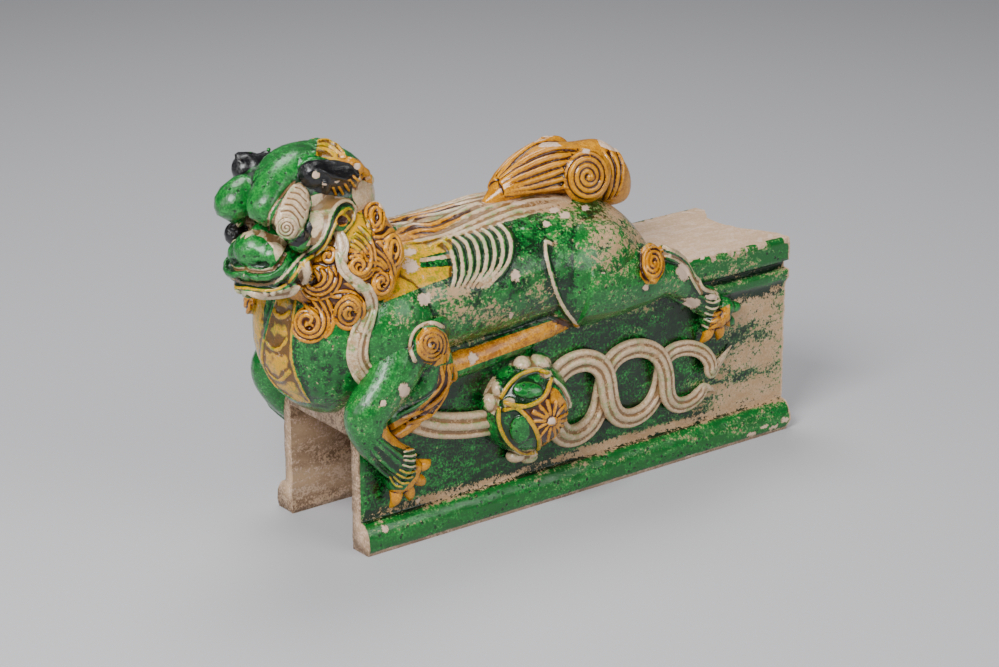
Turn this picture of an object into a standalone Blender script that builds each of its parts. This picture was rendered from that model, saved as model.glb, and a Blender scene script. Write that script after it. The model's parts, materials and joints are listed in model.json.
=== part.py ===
"""A glazed ridge tile with a leaping lion on its back, one fired piece, in metres.

The tile is a trough turned upside down: two walls under a slab, open below and at both ends.
The lion lies along it with its chest hung over the open front, and in relief on each wall its
paws hold a brocade ball by a woven ribbon. X runs from the head to the broken rear edge, the
front wall faces -Y, and Z is up. Places are first given from the middle of the tile's foot.
"""

import math

import bmesh
import bpy
import numpy as np
from mathutils import Matrix, Vector

# The tile
TILE_LENGTH = 0.460
TILE_HEIGHT = 0.178
WALL_FACE = 0.054  # from the middle plane to the outer face of a wall
WALL_INNER = 0.044
SLAB_UNDERSIDE = 0.160
MOUTH_HEIGHT = 0.098  # the clear height under the chest at the front end
CHEST_SOLID = 0.050  # how far in from the front end the chest's clay fills the channel above that
FOOT_HEIGHT = 0.0275
FOOT_PROJECTION = 0.013
FOOT_STEPS = 7
CORNICE_START = 0.107  # the cornice shows only behind the hind legs
FASCIA_FACE = 0.058
FASCIA_LOW = 0.1565
GROOVE_FACE = 0.052
GROOVE_LOW = 0.149
BEAD_LOW = 0.141
BEAD_FOOT = 0.1345
ARRIS = 0.003  # the worn edge along the top of the fascia
CUTTER_REACH = 0.080
CUTTER_TOP = 0.200
CUTTER_OVERRUN = 0.010

# The rear break: how far the slab's edge is lost, from the front wall to the back one
BREAK_DEPTHS = (0.000, 0.001, 0.010, 0.020, 0.024, 0.023, 0.010, 0.014)
BREAK_LOW_FRONT = 0.168
BREAK_LOW_BACK = 0.140

# The notch in the foot of the back wall
NOTCH_X = -0.172
NOTCH_RADIUS = 0.013

# The body: along X, the middle height, half width and half height of its section
BODY_STATIONS = (
    (-0.245, 0.190, 0.052, 0.052),
    (-0.185, 0.192, 0.072, 0.057),
    (-0.125, 0.194, 0.074, 0.054),
    (-0.060, 0.197, 0.074, 0.055),
    (0.000, 0.197, 0.074, 0.054),
    (0.043, 0.190, 0.068, 0.050),
    (0.072, 0.183, 0.056, 0.037),
    (0.093, 0.176, 0.034, 0.010),
)
CHEST_CENTRE = (-0.222, 0.0, 0.180)
CHEST_RADII = (0.060, 0.062, 0.073)
SHOULDER_CENTRE = (-0.192, 0.044, 0.184)
SHOULDER_RADII = (0.044, 0.036, 0.046)
BELLY_BAND = ((-0.155, 0.050, 0.139), (-0.100, 0.052, 0.143), (-0.050, 0.052, 0.151), (-0.010, 0.048, 0.158))
BELLY_BAND_RADIUS = 0.012
MANE_CENTRE = (-0.219, 0.0, 0.236)
MANE_RADII = (0.055, 0.067, 0.058)
HAUNCH_CENTRE = (0.004, 0.046, 0.190)
HAUNCH_RADII = (0.058, 0.036, 0.047)

# The tail, along X as the body is
TAIL_STATIONS = (
    (-0.063, 0.251, 0.003, 0.003),
    (-0.045, 0.259, 0.012, 0.011),
    (-0.024, 0.266, 0.018, 0.017),
    (0.002, 0.268, 0.023, 0.022),
    (0.034, 0.260, 0.026, 0.026),
    (0.061, 0.254, 0.024, 0.029),
    (0.080, 0.245, 0.017, 0.021),
    (0.088, 0.240, 0.008, 0.010),
)
TAIL_RIDGES = 7
TAIL_RIDGE_RADIUS = 0.0026
TAIL_CURL_CENTRE = (0.032, 0.026, 0.256)
TAIL_CURL_RADIUS = 0.024

# The head, in its own frame: forward, to its outer side, up, from the pivot in the neck
HEAD_PIVOT = (-0.225, 0.0, 0.250)
HEAD_TURN = math.radians(14)
HEAD_TILT = math.radians(8)
SKULL = ((-0.002, 0.0, 0.034), (0.048, 0.044, 0.045))
BROW_LOBE = ((0.057, 0.019, 0.044), (0.023, 0.019, 0.021))
FOREHEAD = ((0.033, 0.0, 0.050), (0.038, 0.036, 0.028))
MUZZLE = ((0.055, 0.0, 0.003), (0.036, 0.041, 0.018))
NOSE_BRIDGE = ((0.060, 0.0, 0.018), (0.022, 0.020, 0.014))
NOSE_TIP = ((0.077, 0.0, 0.011), (0.013, 0.021, 0.013))
NOSE_WING = ((0.072, 0.017, 0.007), (0.013, 0.011, 0.010))
CHEEK = ((0.024, 0.032, 0.022), (0.034, 0.017, 0.022))
JAW = ((0.046, 0.0, -0.014), (0.042, 0.033, 0.010))
EYE = ((0.062, 0.036, 0.025), (0.008, 0.007, 0.008))
EAR = ((0.020, 0.042, 0.062), (0.033, 0.011, 0.013))
EAR_SLOPE = math.radians(20)
LIP_PATH = (
    (0.090, 0.000, -0.006),
    (0.086, 0.018, -0.008),
    (0.075, 0.032, -0.006),
    (0.056, 0.038, 0.003),
    (0.038, 0.043, 0.016),
    (0.024, 0.046, 0.031),
    (0.010, 0.047, 0.035),
    (0.007, 0.047, 0.025),
)
LIP_RADIUS = 0.0035
SCROLL_PATH = ((0.044, 0.034, 0.060), (0.058, 0.036, 0.051), (0.067, 0.035, 0.038))
SCROLL_RADII = (0.006, 0.008, 0.009)
SCROLL_CURL = (0.070, 0.036, 0.033)
FANG_PATH = ((0.060, 0.035, 0.004), (0.061, 0.035, -0.006), (0.059, 0.034, -0.017))
TEETH = 5
CREST_TUFTS = 5

# Flat spiral locks of the mane, on the front side: X, height, radius
MANE_CURLS = (
    (-0.198, 0.277, 0.014),
    (-0.179, 0.255, 0.014),
    (-0.231, 0.249, 0.014),
    (-0.208, 0.228, 0.015),
    (-0.236, 0.211, 0.015),
    (-0.264, 0.199, 0.014),
    (-0.259, 0.238, 0.013),
)
CURL_TURNS = 1.7
CURL_DOME = 0.34  # height of a curl against its radius
CURL_COIL = 0.17  # radius of its coil against its own

# Legs, on the front side: X, depth, height and radius at each station
FRONT_LEG = (
    (-0.190, 0.048, 0.180, 0.030),
    (-0.198, 0.060, 0.160, 0.025),
    (-0.214, 0.066, 0.142, 0.020),
    (-0.231, 0.068, 0.124, 0.018),
    (-0.224, 0.066, 0.102, 0.0155),
    (-0.208, 0.065, 0.084, 0.0145),
    (-0.196, 0.064, 0.073, 0.016),
)
SHOULDER_CURL = (-0.180, 0.083, 0.178, 0.016)
ELBOW_FRINGE = (
    (-0.160, 0.064, 0.168, 0.010),
    (-0.150, 0.060, 0.146, 0.009),
    (-0.158, 0.058, 0.122, 0.008),
    (-0.180, 0.060, 0.104, 0.006),
    (-0.204, 0.064, 0.097, 0.004),
)
FRONT_PAW = (-0.197, 0.064, 0.068)
HIND_LEG = (
    (-0.010, 0.044, 0.186, 0.040),
    (0.030, 0.048, 0.181, 0.036),
    (0.058, 0.055, 0.178, 0.028),
    (0.080, 0.059, 0.174, 0.020),
    (0.102, 0.060, 0.161, 0.014),
    (0.120, 0.060, 0.147, 0.012),
    (0.134, 0.060, 0.137, 0.013),
)
KNEE_CURL = (0.057, 0.083, 0.192, 0.014)
HOCK_FRINGE = (
    (0.074, 0.068, 0.197, 0.008),
    (0.090, 0.063, 0.188, 0.007),
    (0.104, 0.061, 0.173, 0.006),
    (0.114, 0.060, 0.157, 0.005),
    (0.136, 0.062, 0.149, 0.004),
)
HIND_PAW = (0.139, 0.061, 0.133)
TOES = 4
TOE_RADIUS = 0.0095
PAW_SPREAD = math.radians(100)
CLAW_LENGTH = 0.018

# Raised lines of the body
RIBS = 8
RIB_PITCH = 0.0085
RIB_RADIUS = 0.0017
HIP_LINE_X = -0.046
SPINE_WAVES = 3

# The brocade ball and its ribbon, in relief on a wall
BALL_CENTRE = (-0.070, 0.058, 0.092)
BALL_RADII = (0.038, 0.034, 0.038)
BALL_BAND = 0.0030
BALL_KNOTS = 4
RIBBON_DEPTH = 0.0590
RIBBON_HALF_WIDTH = 0.0125
RIBBON_FLATNESS = 0.55
WEAVE_NODES_X = (-0.038, 0.021, 0.086, 0.138)
WEAVE_NODES_Z = (0.082, 0.085, 0.080, 0.070)
WEAVE_HEIGHTS = (0.033, 0.033, 0.030, 0.022)
WEAVE_ROUNDNESS = 0.007
WEAVE_LIFT = 0.004
TIP_HIGH = ((0.150, 0.078), (0.165, 0.091))
TIP_LOW = ((0.134, 0.059), (0.148, 0.052))
LEFT_RIBBON = ((-0.182, 0.108), (-0.158, 0.096), (-0.128, 0.088), (-0.098, 0.084))
CHEST_RIBBON = (
    (-0.246, 0.050, 0.276),
    (-0.238, 0.062, 0.262),
    (-0.244, 0.066, 0.246),
    (-0.232, 0.073, 0.232),
    (-0.224, 0.079, 0.218),
    (-0.233, 0.080, 0.200),
    (-0.244, 0.074, 0.182),
    (-0.240, 0.072, 0.164),
    (-0.224, 0.074, 0.152),
)

# The mesh
CLAY_GRAIN = 0.0019
CLAY_SMOOTHING = 2
CLAY_TRIANGLES = 8600
BLANK_SIDES = 20
GREEN_GLAZE = (0.020, 0.190, 0.055, 1.0)


def head_frame():
    """Matrix that takes a place in the head's own frame to the tile's."""
    forward = Vector((-math.cos(HEAD_TURN), -math.sin(HEAD_TURN), 0.0))
    level_side = Vector((math.sin(HEAD_TURN), -math.cos(HEAD_TURN), 0.0))
    up = Vector((0.0, 0.0, 1.0))
    side = level_side * math.cos(HEAD_TILT) + up * math.sin(HEAD_TILT)
    top = up * math.cos(HEAD_TILT) - level_side * math.sin(HEAD_TILT)
    turned = Matrix((forward, side, top)).transposed().to_4x4()
    return Matrix.Translation(HEAD_PIVOT) @ turned


def sided(place, side):
    """A place given for the front side, put on that side (-1) or on the other (1)."""
    return Vector((place[0], side * place[1], place[2]))


def resampled(rows, count):
    """Rows of numbers through which a smooth curve runs, read at count even steps."""
    rows = np.asarray(rows, float)
    padded = np.vstack([2 * rows[0] - rows[1], rows, 2 * rows[-1] - rows[-2]])
    out = []
    for t in np.linspace(0, len(rows) - 1, count):
        i = min(int(t), len(rows) - 2)
        f = t - i
        a, b, c, d = padded[i : i + 4]
        out.append(
            0.5 * (2 * b + (c - a) * f + (2 * a - 5 * b + 4 * c - d) * f**2 + (3 * b - a - 3 * c + d) * f**3)
        )
    return np.array(out)


def add_ball(clay, centre, radii, turn=None):
    """Adds an ellipsoid, turned about its own centre."""
    place = Matrix.Translation(centre) @ (turn or Matrix.Identity(4)) @ Matrix.Diagonal((*radii, 1.0))
    bmesh.ops.create_uvsphere(clay, u_segments=BLANK_SIDES, v_segments=12, radius=1.0, matrix=place)


def add_rings(clay, rings, first, last):
    """Joins closed rings of points in order and closes both ends on a point."""
    loops = [[clay.verts.new(p) for p in ring] for ring in rings]
    count = len(loops[0])
    for near, far in zip(loops, loops[1:]):
        for i in range(count):
            j = (i + 1) % count
            clay.faces.new((near[i], near[j], far[j], far[i]))
    start, end = clay.verts.new(first), clay.verts.new(last)
    for i in range(count):
        j = (i + 1) % count
        clay.faces.new((start, loops[0][j], loops[0][i]))
        clay.faces.new((end, loops[-1][i], loops[-1][j]))


def add_sweep(clay, stations, normal, flatness=1.0, sides=10, steps=None):
    """Adds a rounded strip along stations of (x, y, z, radius), thin along the normal."""
    rows = resampled(stations, steps or 4 * len(stations))
    paths = [Vector(row[:3]) for row in rows]
    normal = Vector(normal)
    rings = []
    for i, (place, row) in enumerate(zip(paths, rows)):
        along = (paths[min(i + 1, len(paths) - 1)] - paths[max(i - 1, 0)]).normalized()
        out = (normal - along * normal.dot(along)).normalized()
        across = out.cross(along)
        ring = []
        for k in range(sides):
            angle = 2 * math.pi * k / sides
            ring.append(place + (across * math.cos(angle) + out * flatness * math.sin(angle)) * max(row[3], 2e-4))
        rings.append(ring)
    begin = paths[0] + (paths[0] - paths[1]).normalized() * rows[0][3] * 0.5
    end = paths[-1] + (paths[-1] - paths[-2]).normalized() * rows[-1][3] * 0.5
    add_rings(clay, rings, begin, end)


def add_loft(clay, stations, steps=30):
    """Adds a body of elliptic sections along X, from rows of x, height, half width, half height."""
    rings = []
    rows = resampled(stations, steps)
    for x, z, width, height in rows:
        turn = [2 * math.pi * k / BLANK_SIDES for k in range(BLANK_SIDES)]
        rings.append([Vector((x, width * math.cos(a), z + height * math.sin(a))) for a in turn])
    ends = [Vector((rows[i][0], 0.0, rows[i][1])) for i in (0, -1)]
    add_rings(clay, rings, *ends)


def add_curl(clay, centre, normal, radius, hand=1):
    """Adds a flat spiral lock: a low dome and the rounded coil that winds out from its middle."""
    centre, normal = Vector(centre), Vector(normal).normalized()
    turn = Vector((0, 0, 1)).rotation_difference(normal).to_matrix().to_4x4()
    dome = radius * CURL_DOME
    add_ball(clay, centre, (radius, radius, dome), turn)
    across, up = turn.to_3x3() @ Vector((1, 0, 0)), turn.to_3x3() @ Vector((0, 1, 0))
    coil = []
    for t in np.linspace(0.06, 1.0, 14):
        angle = hand * 2 * math.pi * CURL_TURNS * t
        reach = radius * 0.92 * t
        lift = dome * (1.25 - 0.75 * t)
        place = centre + (across * math.cos(angle) + up * math.sin(angle)) * reach + normal * lift
        coil.append((*place, radius * CURL_COIL * (0.8 + 0.3 * t)))
    add_sweep(clay, coil, normal, sides=6, steps=28)


def add_body(clay):
    """The trunk, chest, mane and haunches, and the low lines raised on them."""
    add_loft(clay, BODY_STATIONS)
    add_ball(clay, CHEST_CENTRE, CHEST_RADII)
    add_ball(clay, MANE_CENTRE, MANE_RADII)
    for side in (-1, 1):
        add_ball(clay, sided(HAUNCH_CENTRE, side), HAUNCH_RADII)
        add_ball(clay, sided(SHOULDER_CENTRE, side), SHOULDER_RADII)
        band = [(*sided(place, side), BELLY_BAND_RADIUS) for place in BELLY_BAND]
        add_sweep(clay, band, (0, side, 0))
        add_ribs(clay, side)
        hip = [(HIP_LINE_X + 0.020 * abs(t) ** 1.6, side * (0.060 + 0.022 * (1 - t * t)), 0.197 - 0.036 * t, RIB_RADIUS * 1.3)
               for t in (-1, -0.5, 0, 0.5, 1)]
        add_sweep(clay, hip, (0, side, 0.4), sides=6)
    add_spine(clay)


def body_top(x, y):
    """Height of the trunk's surface over a place."""
    rows = np.array(BODY_STATIONS)
    z, width, height = (np.interp(x, rows[:, 0], rows[:, k]) for k in (1, 2, 3))
    return z + height * math.sqrt(max(0.0, 1 - (y / width) ** 2))


def add_ribs(clay, side):
    """The row of curved ribs behind the mane."""
    for k in range(RIBS):
        start = -0.137 + RIB_PITCH * k
        rib = []
        for t in np.linspace(0, 1, 6):
            y = 0.030 + 0.040 * t**0.8
            x = start + 0.012 * math.sin(math.pi * t) - 0.010 * t
            rib.append((x, side * y, body_top(x, y) + 0.0004, RIB_RADIUS * math.sin(math.pi * (0.12 + 0.76 * t))))
        add_sweep(clay, rib, (0, side, 1), sides=6)


def add_spine(clay):
    """The waved crest that runs from the mane to the tail."""
    crest = []
    for t in np.linspace(0, 1, 4 * SPINE_WAVES + 1):
        x = -0.165 + 0.115 * t
        wave = math.sin(2 * math.pi * SPINE_WAVES * t)
        crest.append((x, 0.0, 0.239 + 0.006 * t + 0.0015 * wave, 0.009 + 0.0015 * wave))
    add_sweep(clay, crest, (0, 0, 1), sides=8, steps=40)


def add_tail(clay):
    """The tail laid on the rump: a fan of ridges gathered at the tip and a spiral at its root."""
    add_loft(clay, TAIL_STATIONS)
    rows = np.array(TAIL_STATIONS)
    for side in (-1, 1):
        for k in range(TAIL_RIDGES):
            angle = math.radians(-20 + 110 * k / (TAIL_RIDGES - 1))
            ridge = []
            for x in np.linspace(rows[1, 0] - 0.010, 0.016, 7):
                z, width, height = (np.interp(x, rows[:, 0], rows[:, c]) for c in (1, 2, 3))
                ridge.append((x, side * width * math.cos(angle), z + height * math.sin(angle), TAIL_RIDGE_RADIUS))
            add_sweep(clay, ridge, (0, side, 1), sides=5, steps=12)
        add_curl(clay, sided(TAIL_CURL_CENTRE, side), (0.1, side, 0.1), TAIL_CURL_RADIUS, side)


def add_head(clay):
    """The head in its own frame, then turned onto the neck."""
    head = bmesh.new()
    for centre, radii in (SKULL, FOREHEAD, MUZZLE, NOSE_BRIDGE, NOSE_TIP, JAW):
        add_ball(head, centre, radii)
    for side in (-1, 1):
        for centre, radii in (BROW_LOBE, NOSE_WING, CHEEK, EYE):
            add_ball(head, sided(centre, side), radii)
        add_ball(head, sided(EAR[0], side), EAR[1], Matrix.Rotation(-EAR_SLOPE, 4, "Y"))
        lip = [(*sided(place, side), LIP_RADIUS) for place in LIP_PATH]
        add_sweep(head, lip, (0.4, side, 0), sides=6)
        brow = [(*sided(place, side), radius) for place, radius in zip(SCROLL_PATH, SCROLL_RADII)]
        add_sweep(head, brow, (0.5, side, 0), flatness=0.6)
        add_curl(head, sided(SCROLL_CURL, side), (0.7, side, 0.1), SCROLL_RADII[-1], side)
        fang = [(*sided(place, side), r) for place, r in zip(FANG_PATH, (0.0055, 0.0045, 0.0015))]
        add_sweep(head, fang, (0.4, side, 0), sides=6)
        for k in range(TEETH):
            angle = math.radians(12 + 62 * k / (TEETH - 1))
            place = (0.046 + 0.040 * math.cos(angle), side * 0.033 * math.sin(angle), -0.008)
            add_ball(head, place, (0.0030, 0.0030, 0.0050))
    for k in range(CREST_TUFTS):
        lean = math.radians(62) * (k / (CREST_TUFTS - 1) - 0.5)
        tuft = []
        for rise, radius in ((100, 0.004), (124, 0.0065), (146, 0.006), (166, 0.003)):
            over = math.radians(rise)
            spot = (math.cos(over) * math.cos(lean), math.sin(lean), math.sin(over) * math.cos(lean))
            tuft.append((*(SKULL[0][i] + SKULL[1][i] * spot[i] for i in range(3)), radius))
        add_sweep(head, tuft, (-1, 0, 1), sides=6)
    moved = bpy.data.meshes.new("head")
    head.to_mesh(moved)
    head.free()
    moved.transform(head_frame())
    clay.from_mesh(moved)
    bpy.data.meshes.remove(moved)


def flank(x, z):
    """How far out the front of the body reaches at a place, and the way its surface faces there."""
    found = (0.0, None)
    for ball, reach in ((MANE_CENTRE, MANE_RADII), (CHEST_CENTRE, CHEST_RADII), (SHOULDER_CENTRE, SHOULDER_RADII)):
        flat = ((x - ball[0]) / reach[0]) ** 2 + ((z - ball[2]) / reach[2]) ** 2
        if flat < 1:
            rise = reach[1] * math.sqrt(1 - flat)
            normal = ((x - ball[0]) / reach[0] ** 2, rise / reach[1] ** 2, (z - ball[2]) / reach[2] ** 2)
            found = max(found, (ball[1] + rise, normal))
    return found


def add_mane(clay):
    """Spiral locks on both sides of the neck, each on the surface of the mane or the chest."""
    for x, z, radius in MANE_CURLS:
        for side in (-1, 1):
            y, normal = flank(x, z)
            add_curl(clay, (x, side * y, z), sided(normal, side), radius, side)


def add_paw(clay, centre, side, heading):
    """A paw flat against the wall: a fan of toes, each with a ridge and a hooked claw."""
    centre = sided(centre, side)
    for k in range(TOES):
        angle = heading + PAW_SPREAD * (k / (TOES - 1) - 0.5)
        out = Vector((math.cos(angle), 0.0, math.sin(angle)))
        reach = centre + out * 0.010
        add_ball(clay, reach, (TOE_RADIUS, TOE_RADIUS * 1.2, TOE_RADIUS))
        claw = [
            (*(centre + out * 0.016), 0.0062),
            (*(centre + out * (0.016 + CLAW_LENGTH * 0.5)), 0.0048),
            (*(centre + out * (0.016 + CLAW_LENGTH) + Vector((0, -side * 0.004, 0))), 0.0012),
        ]
        add_sweep(clay, claw, (0, side, 0), sides=6)


def add_legs(clay):
    """Fore and hind legs along both walls, with their curls and fringes."""
    for side in (-1, 1):
        for leg in (FRONT_LEG, HIND_LEG):
            add_sweep(clay, [(*sided(row, side), row[3]) for row in leg], (0, side, 0), sides=14)
        for fringe in (ELBOW_FRINGE, HOCK_FRINGE):
            add_sweep(clay, [(*sided(row, side), row[3]) for row in fringe], (0, side, 0), sides=8)
        for curl in (SHOULDER_CURL, KNEE_CURL):
            add_curl(clay, sided(curl, side), (0.1, side, 0.25), curl[3], side)
        add_paw(clay, FRONT_PAW, side, math.radians(-52))
        add_paw(clay, HIND_PAW, side, math.radians(-60))


def weave_place(turn, hand):
    """Where one of the two woven strands is, after so many half turns: (x, z)."""
    nodes = range(len(WEAVE_NODES_X))
    x = np.interp(turn, nodes, WEAVE_NODES_X) - WEAVE_ROUNDNESS * math.sin(2 * math.pi * turn)
    z = np.interp(turn, nodes, WEAVE_NODES_Z)
    return x, z + hand * np.interp(turn, nodes, WEAVE_HEIGHTS) * math.sin(math.pi * turn)


def add_ribbons(clay):
    """The ribbon in relief on each wall, and the one from the mouth down the front shoulder."""
    for side in (-1, 1):
        for hand, tip, last in ((1, TIP_HIGH, 2.95), (-1, TIP_LOW, 2.72)):
            strand = []
            for turn in np.linspace(0.12, last, 22):
                x, z = weave_place(turn, hand)
                lift = -hand * WEAVE_LIFT * math.cos(math.pi * turn)
                strand.append((x, side * (RIBBON_DEPTH + lift), z, RIBBON_HALF_WIDTH * (1.08 - 0.14 * turn)))
            for x, z in tip:
                strand.append((x, side * (RIBBON_DEPTH - 0.001), z, strand[-1][3] * 0.6))
            add_sweep(clay, strand, (0, side, 0), RIBBON_FLATNESS, steps=60)
        left = [(x, side * RIBBON_DEPTH, z, RIBBON_HALF_WIDTH * 1.15) for x, z in LEFT_RIBBON]
        add_sweep(clay, left, (0, side, 0), RIBBON_FLATNESS)
    front = [(*sided(place, -1), 0.0062 if k < 4 else 0.0095) for k, place in enumerate(CHEST_RIBBON)]
    add_sweep(clay, front, (-0.3, -1, 0), 0.55, steps=36)


def add_brocade_ball(clay):
    """The ball in relief: a net of raised bands, a boss where they meet and four knots."""
    for side in (-1, 1):
        centre = sided(BALL_CENTRE, side)
        add_ball(clay, centre, BALL_RADII)
        for k in range(BALL_KNOTS):
            middle = math.radians(45 + 90 * k)
            band = []
            for t in np.linspace(-1, 1, 9):
                tilt = math.radians(62) - math.radians(34) * (1 - t * t)
                angle = middle + math.radians(45) * t
                out = Vector((math.sin(tilt) * math.cos(angle), side * math.cos(tilt), math.sin(tilt) * math.sin(angle)))
                band.append((*(centre + Vector(out[i] * BALL_RADII[i] for i in range(3))), BALL_BAND))
            add_sweep(clay, band, (0, side, 0), sides=6, steps=14)
            rim = centre + Vector((math.cos(middle) * 0.035, side * 0.012, math.sin(middle) * 0.035))
            add_ball(clay, rim, (0.010, 0.008, 0.007), Matrix.Rotation(-middle, 4, "Y"))
        add_ball(clay, centre + Vector((0.0, side * BALL_RADII[1], 0.0)), (0.007, 0.004, 0.007))


def foot_profile():
    """The cushion moulding along a wall's foot, from the ground up, as (depth, height)."""
    points = []
    for k in range(FOOT_STEPS + 1):
        angle = math.pi / 2 * k / FOOT_STEPS
        points.append((WALL_FACE + FOOT_PROJECTION * math.cos(angle) ** 0.8, 0.006 + 0.020 * math.sin(angle)))
    return [(WALL_FACE + FOOT_PROJECTION - 0.0015, 0.0)] + points + [(WALL_FACE, FOOT_HEIGHT)]


def wall_profile():
    """The whole outer face of a wall, from the ground to the top."""
    return foot_profile() + [
        (WALL_FACE, BEAD_FOOT),
        (FASCIA_FACE, BEAD_LOW),
        (FASCIA_FACE, TILE_HEIGHT - ARRIS),
        (FASCIA_FACE - ARRIS, TILE_HEIGHT),
    ]


def extruded(name, outline, place, depth):
    """A helper object: a flat outline of points, pushed along a vector."""
    prism = bmesh.new()
    face = prism.faces.new([prism.verts.new(p) for p in outline])
    grown = bmesh.ops.extrude_face_region(prism, geom=[face])
    moved = [item for item in grown["geom"] if isinstance(item, bmesh.types.BMVert)]
    bmesh.ops.translate(prism, verts=moved, vec=depth)
    bmesh.ops.recalc_face_normals(prism, faces=prism.faces)
    helper = mesh_object(name, prism)
    helper.location = place
    helper.hide_render = True
    helper.display_type = "WIRE"
    return helper


def mesh_object(name, shape):
    """Puts a bmesh into a new object in the scene."""
    mesh = bpy.data.meshes.new(name)
    shape.to_mesh(mesh)
    shape.free()
    obj = bpy.data.objects.new(name, mesh)
    bpy.context.scene.collection.objects.link(obj)
    return obj


def make_trough():
    """The walls and slab as one closed block, before its hollow is cut."""
    outer = wall_profile()
    outline = [Vector((0, y, z)) for y, z in outer] + [Vector((0, -y, z)) for y, z in reversed(outer)]
    return extruded("trough", outline, (-TILE_LENGTH / 2, 0, 0), (TILE_LENGTH, 0, 0))


def make_hollow():
    """The channel through the tile, open at the foot, at the rear and, below the chest, in front."""
    ends, step = TILE_LENGTH / 2 + 0.05, -TILE_LENGTH / 2 + CHEST_SOLID
    outline = [(-ends, -0.02), (ends, -0.02), (ends, SLAB_UNDERSIDE), (step, SLAB_UNDERSIDE), (step, MOUTH_HEIGHT), (-ends, MOUTH_HEIGHT)]
    outline = [(x, 0, z) for x, z in outline]
    return extruded("hollow", outline, (0, -WALL_INNER, 0), (0, 2 * WALL_INNER, 0))


def make_plain_wall(side):
    """What is left off the cornice along one wall, from the front end to the hind leg."""
    inner, outer = side * WALL_FACE, side * CUTTER_REACH
    outline = [(0, inner, BEAD_FOOT), (0, outer, BEAD_FOOT), (0, outer, CUTTER_TOP), (0, inner, CUTTER_TOP)]
    start = -TILE_LENGTH / 2 - CUTTER_OVERRUN
    return extruded("plain_wall", outline, (start, 0, 0), (CORNICE_START - start, 0, 0))


def make_groove(side):
    """The sunk line between the bead and the fascia along one wall."""
    inner, outer = side * GROOVE_FACE, side * CUTTER_REACH
    outline = [(0, inner, GROOVE_LOW), (0, outer, GROOVE_LOW), (0, outer, FASCIA_LOW), (0, inner, FASCIA_LOW)]
    length = TILE_LENGTH / 2 + CUTTER_OVERRUN - CORNICE_START
    return extruded("groove", outline, (CORNICE_START, 0, 0), (length, 0, 0))


def make_break():
    """What is lost from the rear edge of the slab."""
    reach = FASCIA_FACE + 0.004
    ys = np.linspace(-reach, reach, len(BREAK_DEPTHS))
    rear = TILE_LENGTH / 2
    outline = [(rear - depth - 0.0001, y, 0) for y, depth in zip(ys, BREAK_DEPTHS)]
    outline += [(rear + 0.02, reach, 0), (rear + 0.02, -reach, 0)]
    lost = extruded("lost_edge", outline, (0, 0, 0), (0, 0, 0.06))
    for vert in lost.data.vertices:
        if vert.co.z < 0.03:
            share = (vert.co.y + reach) / (2 * reach)
            vert.co.z = BREAK_LOW_FRONT + (BREAK_LOW_BACK - BREAK_LOW_FRONT) * share
        else:
            vert.co.z = TILE_HEIGHT + 0.02
    return lost


def make_notch():
    """The small arch at the foot of the back wall."""
    arch = [(NOTCH_X + NOTCH_RADIUS * math.cos(a), 0, NOTCH_RADIUS * math.sin(a)) for a in np.linspace(0, math.pi, 9)]
    arch += [(NOTCH_X - NOTCH_RADIUS, 0, -0.01), (NOTCH_X + NOTCH_RADIUS, 0, -0.01)]
    return extruded("notch", arch, (0, WALL_INNER - 0.004, 0), (0, 0.05, 0))


def green_glaze():
    """The lead glaze that covers most of the piece."""
    material = bpy.data.materials.new("green_glaze")
    material.use_nodes = True
    shader = material.node_tree.nodes["Principled BSDF"]
    shader.inputs["Base Color"].default_value = GREEN_GLAZE
    shader.inputs["Roughness"].default_value = 0.25
    shader.inputs["Metallic"].default_value = 0.0
    return material


def add_boolean(obj, name, operation, other):
    """Adds one live Boolean to the piece."""
    modifier = obj.modifiers.new(name, "BOOLEAN")
    modifier.operation = operation
    modifier.object = other


def make_clay():
    """All the modelled forms as one closed skin of an even grain, thinned to few faces."""
    shape = bmesh.new()
    add_body(shape)
    add_head(shape)
    add_mane(shape)
    add_tail(shape)
    add_legs(shape)
    add_ribbons(shape)
    add_brocade_ball(shape)
    bmesh.ops.recalc_face_normals(shape, faces=shape.faces)
    clay = mesh_object("ridge_tile_lion", shape)
    skin = clay.modifiers.new("one_skin", "REMESH")
    skin.mode = "VOXEL"
    skin.voxel_size = CLAY_GRAIN
    smooth = clay.modifiers.new("soften", "SMOOTH")
    smooth.iterations = CLAY_SMOOTHING
    smooth.factor = 0.5
    thin = clay.modifiers.new("thin", "DECIMATE")
    graph = bpy.context.evaluated_depsgraph_get()
    dense = clay.evaluated_get(graph).to_mesh()
    thin.ratio = CLAY_TRIANGLES / (2 * len(dense.polygons))
    thin.use_collapse_triangulate = True
    return clay


def centre_on_ground(pieces):
    """Moves every object so that the middle of the finished piece's foot is the origin."""
    bpy.context.view_layer.update()
    graph = bpy.context.evaluated_depsgraph_get()
    corners = [Vector(corner) for corner in pieces[0].evaluated_get(graph).bound_box]
    low = [min(c[i] for c in corners) for i in range(3)]
    high = [max(c[i] for c in corners) for i in range(3)]
    shift = Vector((-(low[0] + high[0]) / 2, -(low[1] + high[1]) / 2, -low[2]))
    for piece in pieces:
        piece.location += shift


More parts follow.
